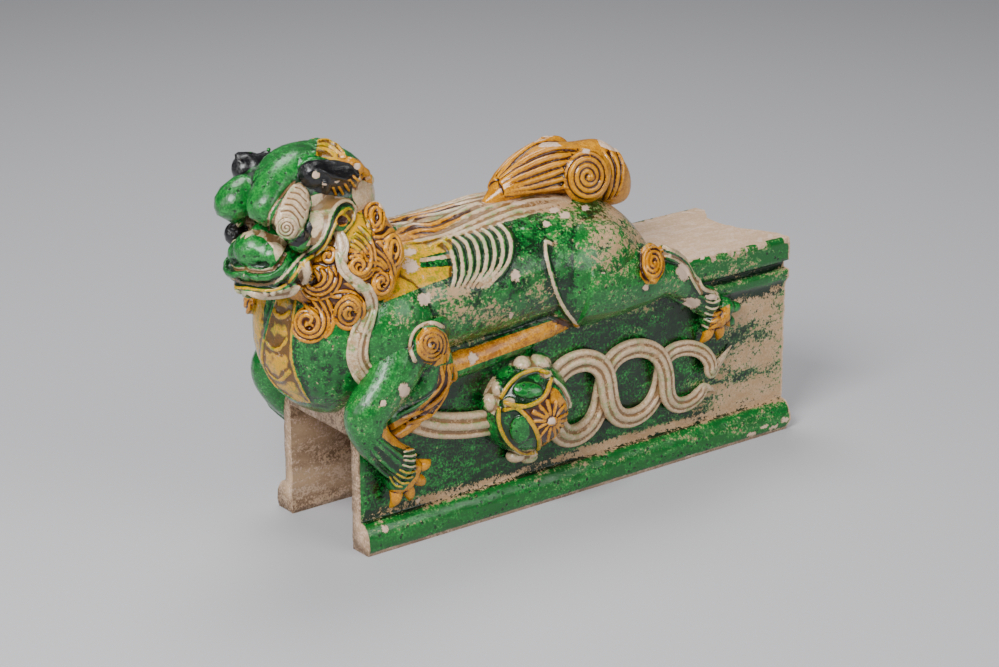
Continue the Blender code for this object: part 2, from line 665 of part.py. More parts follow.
def main():
    for obj in list(bpy.data.objects):
        bpy.data.objects.remove(obj, do_unlink=True)
    lion = make_clay()
    trough = make_trough()
    cuts = {"broken_edge": make_break(), "arch_notch": make_notch()}
    for side in (-1, 1):
        cuts[f"plain_wall_{side}"] = make_plain_wall(side)
        cuts[f"cornice_groove_{side}"] = make_groove(side)
    for name, cutter in cuts.items():
        add_boolean(trough, name, "DIFFERENCE", cutter)
    hollow = make_hollow()
    add_boolean(lion, "on_the_tile", "UNION", trough)
    add_boolean(lion, "channel", "DIFFERENCE", hollow)
    lion.data.materials.append(green_glaze())
    centre_on_ground([lion, trough, hollow, *cuts.values()])


main()
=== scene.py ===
"""Looks for a glazed ridge tile with a leaping lion on its back and a ball and ribbon on its walls.

Sizes are metres from the middle of the tile's own foot. X runs from the lion's head to the broken
rear end, the front wall faces -Y and Z is up. Each piece is built up as a potter would: plain forms
are pressed together, cords of clay are laid on them along lines read off the photograph, the whole
is joined into one skin, pricked and cut, and then glazed. The far side repeats the near one.
"""

from __future__ import annotations

import json
import logging
import math
from collections.abc import Callable, Sequence
from dataclasses import dataclass
from enum import Enum
from itertools import product

import bmesh
import bpy
import numpy as np
from mathutils import Matrix, Vector
from mathutils.bvhtree import BVHTree

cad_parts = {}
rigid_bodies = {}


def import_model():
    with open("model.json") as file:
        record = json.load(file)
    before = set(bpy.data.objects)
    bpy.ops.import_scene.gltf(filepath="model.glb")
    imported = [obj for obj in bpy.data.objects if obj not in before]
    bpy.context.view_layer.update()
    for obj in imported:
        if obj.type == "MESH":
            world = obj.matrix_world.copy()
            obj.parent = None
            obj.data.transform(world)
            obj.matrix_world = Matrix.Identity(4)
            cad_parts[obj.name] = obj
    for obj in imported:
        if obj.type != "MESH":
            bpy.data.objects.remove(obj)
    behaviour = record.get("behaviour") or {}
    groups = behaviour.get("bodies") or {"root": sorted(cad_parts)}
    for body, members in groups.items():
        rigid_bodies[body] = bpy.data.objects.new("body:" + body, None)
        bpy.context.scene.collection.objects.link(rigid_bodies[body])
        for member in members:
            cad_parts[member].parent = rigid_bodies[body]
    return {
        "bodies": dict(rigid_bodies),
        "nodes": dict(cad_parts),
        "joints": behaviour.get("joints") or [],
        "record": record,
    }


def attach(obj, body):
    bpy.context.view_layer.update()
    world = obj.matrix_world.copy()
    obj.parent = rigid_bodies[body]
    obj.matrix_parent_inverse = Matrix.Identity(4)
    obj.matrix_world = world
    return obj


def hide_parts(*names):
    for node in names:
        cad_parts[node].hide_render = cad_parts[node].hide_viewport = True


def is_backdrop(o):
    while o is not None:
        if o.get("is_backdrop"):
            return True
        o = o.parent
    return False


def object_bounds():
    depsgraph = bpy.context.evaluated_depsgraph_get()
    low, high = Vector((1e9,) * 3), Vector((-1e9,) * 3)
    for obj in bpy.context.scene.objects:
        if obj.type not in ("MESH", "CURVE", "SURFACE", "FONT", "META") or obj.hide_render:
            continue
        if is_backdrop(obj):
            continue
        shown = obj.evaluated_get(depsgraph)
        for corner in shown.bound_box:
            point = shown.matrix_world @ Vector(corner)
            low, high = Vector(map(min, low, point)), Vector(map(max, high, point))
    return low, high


LOG = logging.getLogger("ridge_tile")

Pixel = tuple[float, float]
Place = tuple[float, float, float]
Path = Sequence[Pixel]
Paths = Sequence[Path]
Stations = Sequence[tuple[float, float, float, float]]

NODE = "ridge_tile_lion"
BODY = "root"
WALL_DEPTH = 0.0495
MOUTH_END = -0.184
CHANNEL_TOP = 0.166


class Side(Enum):
    """Which flanks of the piece a form is put on."""

    NEAR = "near"
    BOTH = "both"
    MIDDLE = "middle"


class Mask(Enum):
    """What a point of the skin is painted with."""

    AMBER = "amber"
    YELLOW = "yellow"
    CREAM = "cream"
    BLACK = "black"
    BARE = "bare"
    WORN = "worn"
    CHIP = "chip"
    # Painted shade: darker in grooves, over pooled glaze, and in shaded places; low values give ridges a
    # painted highlight.
    CAVITY = "cavity"


def smooth_step(value: np.ndarray, low: float, high: float) -> np.ndarray:
    """Eases from 0 at low to 1 at high."""
    t = np.clip((value - low) / (high - low), 0.0, 1.0)
    return t * t * (3 - 2 * t)


def curve_through(rows: np.ndarray, count: int) -> np.ndarray:
    """Reads a smooth curve through rows of numbers at even steps.

    Args:
        rows: the rows that the curve passes through.
        count: how many rows to read off it.

    Returns:
        The rows read off, count of them.
    """
    rows = np.asarray(rows, float)
    padded = np.vstack([2 * rows[0] - rows[1], rows, 2 * rows[-1] - rows[-2]])
    out = []
    for t in np.linspace(0, len(rows) - 1, count):
        i = min(int(t), len(rows) - 2)
        f = t - i
        a, b, c, d = padded[i : i + 4]
        bend = (2 * a - 5 * b + 4 * c - d) * f**2 + (3 * b - a - 3 * c + d) * f**3
        out.append(0.5 * (2 * b + (c - a) * f + bend))
    return np.array(out)


def grain(points: np.ndarray, size: float, seed: int) -> np.ndarray:
    """Smooth random relief from -1 to 1 with lumps of one size.

    Args:
        points: places, n by 3.
        size: the width of a lump in metres.
        seed: which relief.

    Returns:
        One number for each place.
    """
    cell = points / size + 13.7 * seed
    base = np.floor(cell).astype(np.int64)
    share = cell - base
    share = share * share * (3 - 2 * share)
    total = np.zeros(len(points))
    for corner in product((0, 1), repeat=3):
        key = base + np.array(corner)
        mixed = key[:, 0] * 73856093 ^ key[:, 1] * 19349663 ^ key[:, 2] * 83492791 ^ seed * 2654435
        mixed = (mixed * 1103515245 + 12345) & 0x7FFFFFFF
        weight = np.prod(np.where(np.array(corner) == 1, share, 1 - share), axis=1)
        total += weight * (((mixed >> 9) & 0xFFFF) / 32767.5 - 1.0)
    return total


def between(first: Path, last: Path, count: int) -> list[Path]:
    """Evenly spread lines from a first to a last one that has as many points."""
    first, last = np.array(first, float), np.array(last, float)
    return [(1 - t) * first + t * last for t in np.linspace(0, 1, count)]


def path_distance(pixels: np.ndarray, path: Path, closed: bool = False) -> np.ndarray:
    """How many pixels each place is from a line of straight steps.

    Args:
        pixels: places in the photograph's frame, n by 2.
        path: the line's corners.
        closed: whether the last corner joins the first.

    Returns:
        One distance for each place.
    """
    corners = np.array(path + path[:1] if closed else path, float)
    least = np.full(len(pixels), 1e9)
    for a, b in zip(corners, corners[1:]):
        along = b - a
        t = np.clip(((pixels - a) @ along) / max(along @ along, 1e-9), 0, 1)
        least = np.minimum(least, np.linalg.norm(pixels - a - t[:, None] * along, axis=1))
    return least


def inside(pixels: np.ndarray, outline: Path, soft: float = 1.2) -> np.ndarray:
    """A mask that is 1 inside a closed outline and eases to 0 across its edge.

    Args:
        pixels: places in the photograph's frame, n by 2.
        outline: the outline's corners.
        soft: the width of the edge in pixels.

    Returns:
        One share for each place.
    """
    crossings = np.zeros(len(pixels), bool)
    x, y = pixels[:, 0], pixels[:, 1]
    for (ax, ay), (bx, by) in zip(outline, outline[1:] + outline[:1]):
        spans = (ay > y) != (by > y)
        reach = ax + (y - ay) * (bx - ax) / ((by - ay) if by != ay else 1e-9)
        crossings ^= spans & (x < reach)
    away = path_distance(pixels, outline, closed=True)
    return smooth_step(np.where(crossings, away, -away), -soft, soft)


def ellipse_reach(pixels: np.ndarray, centre: Pixel, radii: Pixel) -> np.ndarray:
    """How far out each place lies in an upright ellipse, which is 1 on its rim."""
    return np.hypot((pixels[:, 0] - centre[0]) / radii[0], (pixels[:, 1] - centre[1]) / radii[1])


def ellipse_mask(pixels: np.ndarray, centre: Pixel, radii: Pixel, soft: float = 0.2) -> np.ndarray:
    """A mask that is 1 inside an upright ellipse."""
    return 1 - smooth_step(ellipse_reach(pixels, centre, radii), 1 - soft, 1 + soft)


def placed(name: str, data: bpy.types.ID) -> bpy.types.Object:
    """Puts a new object into the scene."""
    obj = bpy.data.objects.new(name, data)
    bpy.context.scene.collection.objects.link(obj)
    return obj


def evaluated(holder: bpy.types.Object) -> bpy.types.Mesh:
    """Takes the mesh that an object's modifiers make and removes the object."""
    graph = bpy.context.evaluated_depsgraph_get()
    mesh = bpy.data.meshes.new_from_object(holder.evaluated_get(graph))
    bpy.data.objects.remove(holder, do_unlink=True)
    return mesh


@dataclass(frozen=True)
class PhotoView:
    """The photograph's viewpoint, solved from the corners of the tile."""

    azimuth: float = math.radians(-37.2)
    elevation: float = math.radians(20.4)
    distance: float = 2.53
    aim: Place = (-0.0466, 0.0, 0.1324)
    focal_px: float = 3000.0
    sensor_mm: float = 36.0
    width_px: int = 999
    height_px: int = 667

    def axes(self) -> tuple[np.ndarray, np.ndarray, np.ndarray]:
        """The view's right, up and backward directions."""
        a, e = self.azimuth, self.elevation
        back = np.array((math.sin(a) * math.cos(e), -math.cos(a) * math.cos(e), math.sin(e)))
        right = np.array((math.cos(a), math.sin(a), 0.0))
        return right, np.cross(back, right), back

    def eye(self) -> np.ndarray:
        """Where the photograph was taken from."""
        return np.array(self.aim) + self.axes()[2] * self.distance

    def pixels(self, points: np.ndarray) -> np.ndarray:
        """Where places fall in the photograph's frame, n by 2."""
        right, up, back = self.axes()
        seen = points - self.eye()
        depth = -(seen @ back)
        across, upward = self.focal_px * (seen @ right) / depth, self.focal_px * (seen @ up) / depth
        return np.stack([self.width_px / 2 + across, self.height_px / 2 - upward], axis=1)

    def ray(self, pixel: Pixel) -> tuple[Vector, Vector]:
        """The line of sight through a pixel: where it starts and its direction."""
        right, up, back = self.axes()
        x = (pixel[0] - self.width_px / 2) / self.focal_px
        y = (self.height_px / 2 - pixel[1]) / self.focal_px
        way = right * x + up * y - back
        return Vector(self.eye()), Vector(way).normalized()

    def camera(self, offset: Place) -> None:
        """Makes the camera.

        Args:
            offset: from the tile's own origin to the frame's.
        """
        lens = bpy.data.cameras.new("photo_view")
        lens.sensor_fit = "HORIZONTAL"
        lens.sensor_width = self.sensor_mm
        lens.lens = self.focal_px / self.width_px * self.sensor_mm
        lens.clip_start, lens.clip_end = 0.05, 60.0
        camera = placed("photo_view", lens)
        turned = Matrix(self.axes()).transposed().to_4x4()
        camera.matrix_world = Matrix.Translation(Vector(self.eye()) + Vector(offset)) @ turned
        bpy.context.scene.camera = camera


class CordTree:
    """Geometry nodes that turn lines with a radius into smooth cords of clay."""

    SIDES = 8

    def __init__(self) -> None:
        """Builds the node tree once."""
        tree = bpy.data.node_groups.new("clay_cords", "GeometryNodeTree")
        for way in ("INPUT", "OUTPUT"):
            tree.interface.new_socket("Geometry", in_out=way, socket_type="NodeSocketGeometry")
        kinds = ("CurvePrimitiveCircle", "CurveToMesh", "InputRadius")
        section, swept, thickness = (tree.nodes.new("GeometryNode" + kind) for kind in kinds)
        section.inputs["Resolution"].default_value = self.SIDES
        section.inputs["Radius"].default_value = 1.0
        swept.inputs["Fill Caps"].default_value = True
        for source, target in (
            (tree.nodes.new("NodeGroupInput").outputs["Geometry"], swept.inputs["Curve"]),
            (section.outputs["Curve"], swept.inputs["Profile Curve"]),
            (thickness.outputs[0], swept.inputs["Scale"]),
            (swept.outputs["Mesh"], tree.nodes.new("NodeGroupOutput").inputs["Geometry"]),
        ):
            tree.links.new(source, target)
        self.tree = tree

    def mesh(self, cords: list[np.ndarray]) -> bpy.types.Mesh:
        """Sweeps every cord.

        Args:
            cords: for each cord its rows of x, y, z and radius.

        Returns:
            One plain mesh of all the cords.
        """
        lines = bpy.data.curves.new("cord_lines", "CURVE")
        lines.dimensions = "3D"
        for rows in cords:
            points = lines.splines.new("POLY").points
            points.add(len(rows) - 1)
            points.foreach_set("co", np.c_[rows[:, :3], np.ones(len(rows))].astype(np.float32).ravel())
            points.foreach_set("radius", rows[:, 3].astype(np.float32))
        holder = placed("cord_lines", lines)
        holder.modifiers.new("cords", "NODES").node_group = self.tree
        mesh = evaluated(holder)
        bpy.data.curves.remove(lines)
        return mesh


class Clay:
    """Forms and cords pressed together, before they are joined into one skin."""

    FLIP = Matrix.Diagonal((1.0, -1.0, 1.0, 1.0))
    ROUND = np.linspace(0, 2 * math.pi, 20, endpoint=False)
    LEAP = 0.009
    MIDDLE_GAP = 0.0012

    def __init__(
        self, shop: Workshop, frame: Matrix = Matrix.Identity(4), near: int = -1, under: Clay | None = None
    ) -> None:
        """Starts with no clay.

        Args:
            shop: what every piece is made with.
            frame: from this clay's own frame to the tile's.
            near: the sign of Y on the near side in this clay's own frame.
            under: more clay in the same frame that lies below this one.
        """
        self.view, self.cord_tree, self.near, self.under = shop.view, shop.cords, near, under
        self.frame, self.back = frame, frame.inverted()
        self.shape = bmesh.new()
        self.cords: list[np.ndarray] = []
        self.skin: BVHTree | None = None

    def signs(self, side: Side) -> tuple[int, ...]:
        """The factors for Y that put a form on its flanks."""
        if side is Side.BOTH:
            return (self.near, -self.near)
        return (self.near,) if side is Side.NEAR else (1,)

    def sphere(self, lie: Matrix) -> None:
        """Adds a ball of radius 1 under a transform."""
        bmesh.ops.create_uvsphere(self.shape, u_segments=36, v_segments=20, radius=1.0, matrix=lie)

    def ball(
        self, centre: Place, radii: Place, side: Side = Side.MIDDLE, turn: Matrix = Matrix.Identity(4)
    ) -> None:
        """Adds an ellipsoid; its centre's Y counts outwards unless it is in the middle."""
        for sign in self.signs(side):
            lie = self.FLIP @ turn @ self.FLIP if side is Side.BOTH and sign != self.near else turn
            place = Matrix.Translation((centre[0], sign * centre[1], centre[2]))
            self.sphere(place @ lie @ Matrix.Diagonal((*radii, 1.0)))

    def rings(self, rings: list[list[Vector]], first: Vector, last: Vector) -> None:
        """Joins closed rings of points and closes both ends on a point."""
        loops = [[self.shape.verts.new(p) for p in ring] for ring in rings]
        count = len(loops[0])
        for one, two in zip(loops, loops[1:]):
            for i in range(count):
                self.shape.faces.new((one[i], two[i], two[(i + 1) % count], one[(i + 1) % count]))
        start, end = self.shape.verts.new(first), self.shape.verts.new(last)
        for i in range(count):
            self.shape.faces.new((start, loops[0][i], loops[0][(i + 1) % count]))
            self.shape.faces.new((end, loops[-1][(i + 1) % count], loops[-1][i]))

    def limb(
        self, stations: Stations, normal: Place = (0, 1, 0), side: Side = Side.BOTH,
        flatness: float = 1.0, steps: int = 40,
    ) -> None:
        """Adds a rounded limb.

        Args:
            stations: rows of x, y, z and radius; Y counts outwards.
            normal: the direction in which the limb may be flattened.
            side: which flanks it is put on.
            flatness: the thickness along the normal against the width.
            steps: how many rings it has.
        """
        for sign in self.signs(side):
            rows = curve_through(np.array(stations) * (1, sign, 1, 1), steps)
            out_way = Vector((normal[0], sign * normal[1], normal[2]))
            rings = []
            for i, row in enumerate(rows):
                along = Vector(rows[min(i + 1, steps - 1), :3] - rows[max(i - 1, 0), :3]).normalized()
                out = (out_way - along * out_way.dot(along)).normalized()
                across, reach = along.cross(out), max(row[3], 2e-4)
                ways = (across * math.cos(a) + out * flatness * math.sin(a) for a in self.ROUND)
                rings.append([Vector(row[:3]) + way * reach for way in ways])
            begin, end = (
                Vector(tip[:3]) + (Vector(tip[:3]) - Vector(beside[:3])).normalized() * tip[3] * 0.6
                for tip, beside in ((rows[0], rows[1]), (rows[-1], rows[-2]))
            )
            self.rings(rings, begin, end)

    def loft(self, stations: Stations, steps: int = 60, sides: int = 48) -> None:
        """Adds a body of elliptic sections along X, from rows of x, height, half width, half height."""
        rows = curve_through(stations, steps)
        turns = np.linspace(0, 2 * math.pi, sides, endpoint=False)
        rings = [[Vector((x, w * math.cos(a), z + h * math.sin(a))) for a in turns] for x, z, w, h in rows]
        self.rings(rings, Vector((rows[0, 0], 0, rows[0, 1])), Vector((rows[-1, 0], 0, rows[-1, 1])))

    def press(self) -> None:
        """Takes the present forms, with the clay under them, as the ground that lines are laid on."""
        bmesh.ops.recalc_face_normals(self.shape, faces=self.shape.faces)
        both = self.shape.copy()
        if self.under:
            mesh = bpy.data.meshes.new("under")
            self.under.shape.to_mesh(mesh)
            both.from_mesh(mesh)
            bpy.data.meshes.remove(mesh)
        self.skin = BVHTree.FromBMesh(both)
        both.free()

    def sight(self, pixel: Pixel) -> tuple[Vector, Vector]:
        """The line of sight through a pixel in this clay's own frame: its start and its direction."""
        start, way = self.view.ray(pixel)
        return self.back @ start, (self.back.to_3x3() @ way).normalized()

    def cast(self, pixel: Pixel) -> tuple[Vector, Vector] | None:
        """The first place that the line of sight through a pixel meets, and the way it faces."""
        start, way = self.sight(pixel)
        place, normal, _, _ = self.skin.ray_cast(start, way)
        if place is None:
            return None
        return place, (-normal if normal.dot(way) > 0 else normal)

    def hug(self, pixel: Pixel, like: Vector) -> tuple[Vector, Vector]:
        """The place on the clay that is nearest to a line of sight that misses it."""
        start, way = self.sight(pixel)
        beside = start + way * (like - start).dot(way)
        place, normal, _, _ = self.skin.find_nearest(beside)
        return place, (-normal if (beside - place).dot(normal) < 0 else normal)

    def trace(self, path: Path, spacing: float = 1.4) -> tuple[np.ndarray, np.ndarray]:
        """Lays a line of pixels onto the clay.

        Args:
            path: the line's points in the photograph's frame.
            spacing: the step along it in pixels.

        Returns:
            The places on the clay and the ways it faces there, n by 3 each.
        """
        length = np.linalg.norm(np.diff(np.array(path, float), axis=0), axis=1).sum()
        laid: list[tuple[Vector, Vector]] = []
        waiting = None
        for spot in curve_through(path, max(4, int(length / spacing))):
            found = self.cast(tuple(spot))
            if found is None and laid:
                found = self.hug(tuple(spot), laid[-1][0])
            if found is None:
                waiting = spot
            elif not laid or (found[0] - laid[-1][0]).length <= self.LEAP:
                laid.append(found)
        if waiting is not None and laid:
            laid.insert(0, self.hug(tuple(waiting), laid[0][0]))
        if len(laid) < 3:
            LOG.warning("a line from %s misses the clay", path[0])
            return np.zeros((0, 3)), np.zeros((0, 3))
        places, normals = (np.array(rows) for rows in zip(*laid))
        for _, rows in product(range(2), (places, normals)):
            rows[1:-1] = 0.25 * rows[:-2] + 0.5 * rows[1:-1] + 0.25 * rows[2:]
        return places, normals / np.linalg.norm(normals, axis=1)[:, None]

    def cord(
        self, path: Path, radius: float, lift: float = 0.3, side: Side = Side.BOTH,
        ends: Pixel = (0.45, 0.45),
    ) -> None:
        """Lays a cord of clay along a line read off the photograph.

        Args:
            path: the line's points in the photograph's frame.
            radius: the cord's radius.
            lift: how far its middle stands off the clay against its radius.
            side: the near side alone, or its mirror image too.
            ends: how thin the first and the last end are against the middle.
        """
        places, normals = self.trace(path)
        if not len(places):
            return
        thick = np.interp(np.linspace(0, 1, len(places)), (0, 0.15, 0.85, 1), (ends[0], 1, 1, ends[1]))
        rows = np.c_[places + normals * (radius * lift), radius * thick]
        if side is Side.BOTH:
            rows = rows[rows[:, 1] * self.near > -self.MIDDLE_GAP]
            if len(rows) < 2:
                return
            self.cords.append(rows * (1, -1, 1, 1))
        self.cords.append(rows)

    def lay(self, paths: Paths, radius: float, lift: float = 0.3, **more: object) -> None:
        """Lays one cord along each of several lines."""
        for path in paths:
            self.cord(path, radius, lift, **more)

    def band(self, path: Path, widths: tuple, thickness: float, lift: float) -> None:
        """Lays a flat band of clay along a line read off the photograph, on the near side alone.

        Args:
            path: the middle line's points in the photograph's frame.
            widths: half the band's width at those points, in pixels.
            thickness: half its thickness in metres.
            lift: how far its middle stands off the clay.
        """
        places, normals = self.trace(path)
        wide = np.interp(np.linspace(0, 1, len(places)), np.linspace(0, 1, len(widths)), widths)
        scale = self.scale_at(Vector(places[0]))
        rings = []
        for i, (place, normal) in enumerate(zip(places, normals)):
            along = Vector(places[min(i + 1, len(places) - 1)] - places[max(i - 1, 0)]).normalized()
            out = Vector(normal)
            across, middle = along.cross(out).normalized(), Vector(place) + out * lift
            shares = ((math.cos(a) * wide[i] * scale, math.sin(a) * thickness) for a in self.ROUND)
            rings.append([middle + across * wider + out * thicker for wider, thicker in shares])
        self.rings(rings, Vector(places[0]), Vector(places[-1]))

    def scale_at(self, place: Vector) -> float:
        """The width in metres of one pixel at a place."""
        return (self.frame @ place - Vector(self.view.eye())).length / self.view.focal_px

    def dome(self, centre: Pixel, radii: Pixel, height: float, side: Side = Side.BOTH) -> None:
        """Adds a low dome whose outline in the photograph is an ellipse.

        Args:
            centre: the middle of the ellipse.
            radii: its half width and half height in pixels.
            height: how far the dome stands out, in metres.
            side: which flanks it is put on.
        """
        place, normal = self.cast(centre) or self.hug(centre, Vector(self.back @ Vector(self.view.aim)))
        scale = self.scale_at(place)
        right, up, _ = (self.back.to_3x3() @ Vector(way) for way in self.view.axes())
        across = (right - normal * right.dot(normal)).normalized()
        upward = normal.cross(across)
        if upward.dot(up) < 0:
            upward = -upward
            across = -upward.cross(normal)
        wide = radii[0] * scale / max(0.35, abs(across.dot(right)))
        tall = radii[1] * scale / max(0.35, abs(upward.dot(up)))
        turn = Matrix((across, upward, across.cross(upward))).transposed().to_4x4()
        lies = [Matrix.Translation(place)]
        if side is Side.BOTH:
            lies.append(Matrix.Translation((place.x, -place.y, place.z)) @ self.FLIP)
        for lie in lies:
            self.sphere(lie @ turn @ Matrix.Diagonal((wide, tall, height, 1.0)))

    def domes(self, rows: tuple) -> None:
        """Adds a dome for each row of centre, radii and height."""
        for centre, radii, height in rows:
            self.dome(centre, radii, height)

    def join(self, voxel: float, smoothing: int) -> Skin:
        """Joins everything into one closed skin.

        Args:
            voxel: the grain of the skin.
            smoothing: how many times the glaze softens it.

        Returns:
            The skin, ready to be cut and painted.
        """
        if self.cords:
            swept = self.cord_tree.mesh(self.cords)
            self.shape.from_mesh(swept)
            bpy.data.meshes.remove(swept)
        self.shape.transform(self.frame)
        bmesh.ops.recalc_face_normals(self.shape, faces=self.shape.faces)
        mesh = bpy.data.meshes.new("clay")
        self.shape.to_mesh(mesh)
        self.shape.free()
        holder = placed("clay", mesh)
        remesh = holder.modifiers.new("one_skin", "REMESH")
        remesh.mode, remesh.voxel_size = "VOXEL", voxel
        soften = holder.modifiers.new("soften", "SMOOTH")
        soften.factor, soften.iterations = 0.5, smoothing
        joined = evaluated(holder)
        bpy.data.meshes.remove(mesh)
        return Skin(joined, self.view, self.frame, self.near)


class Skin:
    """The skin of one piece, as points that can be moved and painted."""

    def __init__(self, mesh: bpy.types.Mesh, view: PhotoView, frame: Matrix, near: int) -> None:
        """Takes over a mesh in the tile's frame.

        Args:
            mesh: the mesh.
            view: the photograph's viewpoint.
            frame: from the clay's own frame to the tile's.
            near: the sign of Y on the near side in the clay's own frame.
        """
        self.mesh, self.view, self.frame, self.near = mesh, view, frame, near
        self.paint: dict[Mask, np.ndarray] = {}
        self.read()

    def read(self) -> None:
        """Reads the mesh's points, normals and edges, and where each falls in the photograph's frame.

        A point of the far side is brought to the near side for that.
        """

        def rows(items: bpy.types.bpy_prop_collection, name: str, width: int, kind: type) -> np.ndarray:
            """One property of every item, a row each."""
            values = np.empty(len(items) * width, kind)
            items.foreach_get(name, values)
            return values.reshape(-1, width)

        self.points = rows(self.mesh.vertices, "co", 3, np.float32).astype(float)
        self.normals = rows(self.mesh.vertex_normals, "vector", 3, np.float32).astype(float)
        self.edges = rows(self.mesh.edges, "vertices", 2, np.int32)
        turn = np.array(self.frame)
        back = np.linalg.inv(turn)
        own = self.points @ back[:3, :3].T + back[:3, 3]
        ways = self.normals @ back[:3, :3].T
        far = own[:, 1] * self.near < 0
        own[far, 1] *= -1
        ways[far, 1] *= -1
        self.own, self.far = own, far
        near_points = own @ turn[:3, :3].T + turn[:3, 3]
        self.px = self.view.pixels(near_points)
        sight = self.view.eye() - near_points
        sight /= np.linalg.norm(sight, axis=1)[:, None]
        facing = np.einsum("ij,ij->i", sight, ways @ turn[:3, :3].T)
        self.seen = smooth_step(facing, -0.25, 0.0)

    def around(self, values: np.ndarray) -> np.ndarray:
        """The mean of a value over each point's neighbours."""
        ends, others = self.edges.T.ravel(), self.edges[:, ::-1].T.ravel()
        count = np.maximum(np.bincount(ends, minlength=len(values)), 1)
        if values.ndim == 1:
            return np.bincount(ends, values[others], len(values)) / count
        columns = [np.bincount(ends, column[others], len(values)) / count for column in values.T]
        return np.stack(columns, axis=1)

    def hollows(self, spread: int = 2, scale: float = 0.00022) -> np.ndarray:
        """How far each point lies in a groove (towards 1) or on a ridge (towards -1)."""
        smooth = self.points
        for _ in range(spread + 2):
            smooth = self.around(smooth)
        depth = np.einsum("ij,ij->i", smooth - self.points, self.normals)
        for _ in range(spread):
            depth = 0.5 * depth + 0.5 * self.around(depth)
        return np.clip(depth / scale, -1, 1)

    def push(self, amount: np.ndarray) -> None:
        """Moves the skin outwards by an amount for each point."""
        self.points = self.points + self.normals * amount[:, None]

    def dent(self, centre: Pixel, radii: Pixel, depth: float) -> None:
        """Presses a smooth hollow into the skin where an ellipse of pixels falls on it."""
        reach = ellipse_reach(self.px, centre, radii)
        self.push(-depth * (1 - smooth_step(reach, 0.0, 1.15)) * self.seen)

    def score(self, path: Path, width: float, depth: float) -> None:
        """Cuts a groove along a line of pixels."""
        away = path_distance(self.px, curve_through(path, 4 * len(path)))
        self.push(-depth * (1 - smooth_step(away, 0.15 * width, width)) * self.seen)

    def add(self, mask: Mask, values: np.ndarray) -> None:
        """Paints on top of what is there."""
        self.paint[mask] = np.maximum(self.values(mask), values)

    def clear(self, mask: Mask, values: np.ndarray) -> None:
        """Wipes paint away where values are near 1."""
        if mask in self.paint:
            self.paint[mask] = self.paint[mask] * (1 - values)

    def zone(self, mask: Mask, outline: Path, soft: float = 1.2, strength: float = 1.0) -> None:
        """Paints inside a closed outline of pixels."""
        self.add(mask, inside(self.px, outline, soft) * self.seen * strength)

    def stroke(self, mask: Mask, path: Path, width: float, soft: float = 1.0) -> None:
        """Paints along a line of pixels."""
        away = path_distance(self.px, curve_through(path, 4 * len(path)))
        self.add(mask, (1 - smooth_step(away, width / 2 - soft / 2, width / 2 + soft / 2)) * self.seen)

    def wipe(self, mask: Mask, path: Path, width: float) -> None:
        """Wipes paint away along a line of pixels."""
        self.clear(mask, 1 - smooth_step(path_distance(self.px, path), width / 2 - 0.5, width / 2 + 0.5))

    def form(self, centre: Place, radii: Place, grow: float = 1.12) -> np.ndarray:
        """A mask of what lies within an ellipsoid of the clay's own frame, on either flank."""
        reach = np.linalg.norm((self.own - np.array(centre) * (1, self.near, 1)) / np.array(radii), axis=1)
        return 1 - smooth_step(reach, grow - 0.06, grow + 0.06)

    def spots(self, mask: Mask, ellipses: tuple) -> None:
        """Paints ellipses of pixels, from rows of centre and radii."""
        for centre, radii in ellipses:
            self.add(mask, ellipse_mask(self.px, centre, radii, 0.6) * self.seen)

    def rub(self, patches: tuple) -> None:
        """Wears the glaze in soft patches, from rows of centre, radii and strength."""
        for centre, radii, strength in patches:
            reach = ellipse_reach(self.px, centre, radii)
            self.add(Mask.WORN, strength * np.exp(-(reach**2)) * self.seen)

    def write(self) -> None:
        """Puts the moved points back into the mesh."""
        self.mesh.vertices.foreach_set("co", self.points.astype(np.float32).ravel())
        self.mesh.update()

    def values(self, mask: Mask) -> np.ndarray:
        """One paint on every point, 0 where there is none."""
        return self.paint.get(mask, np.zeros(len(self.points)))

    def thin(self, triangles: int, paint: Callable[[Skin], None] | None = None) -> None:
        """Leaves out points where the skin is flat, down to so many triangles.

        Args:
            triangles: how many to leave.
            paint: what glazes the skin, whose edges keep their points.
        """
        holder = placed("thinning", self.mesh)
        modifier = holder.modifiers.new("thin", "DECIMATE")
        self.mesh.calc_loop_triangles()
        modifier.ratio = min(1.0, triangles / len(self.mesh.loop_triangles))
        modifier.use_collapse_triangulate = True
        if paint:
            paint(self)
            edge = np.zeros(len(self.points), bool)
            for mask in (Mask.AMBER, Mask.YELLOW, Mask.CREAM, Mask.BLACK, Mask.CHIP):
                edge |= (self.values(mask) > 0.04) & (self.values(mask) < 0.96)
            self.paint = {}
            holder.vertex_groups.new(name="edges").add(np.flatnonzero(edge).tolist(), 1.0, "REPLACE")
            modifier.vertex_group = "edges"
            modifier.invert_vertex_group = True
            modifier.vertex_group_factor = 3.0
        thinned = evaluated(holder)
        bpy.data.meshes.remove(self.mesh)
        self.mesh = thinned
        self.read()

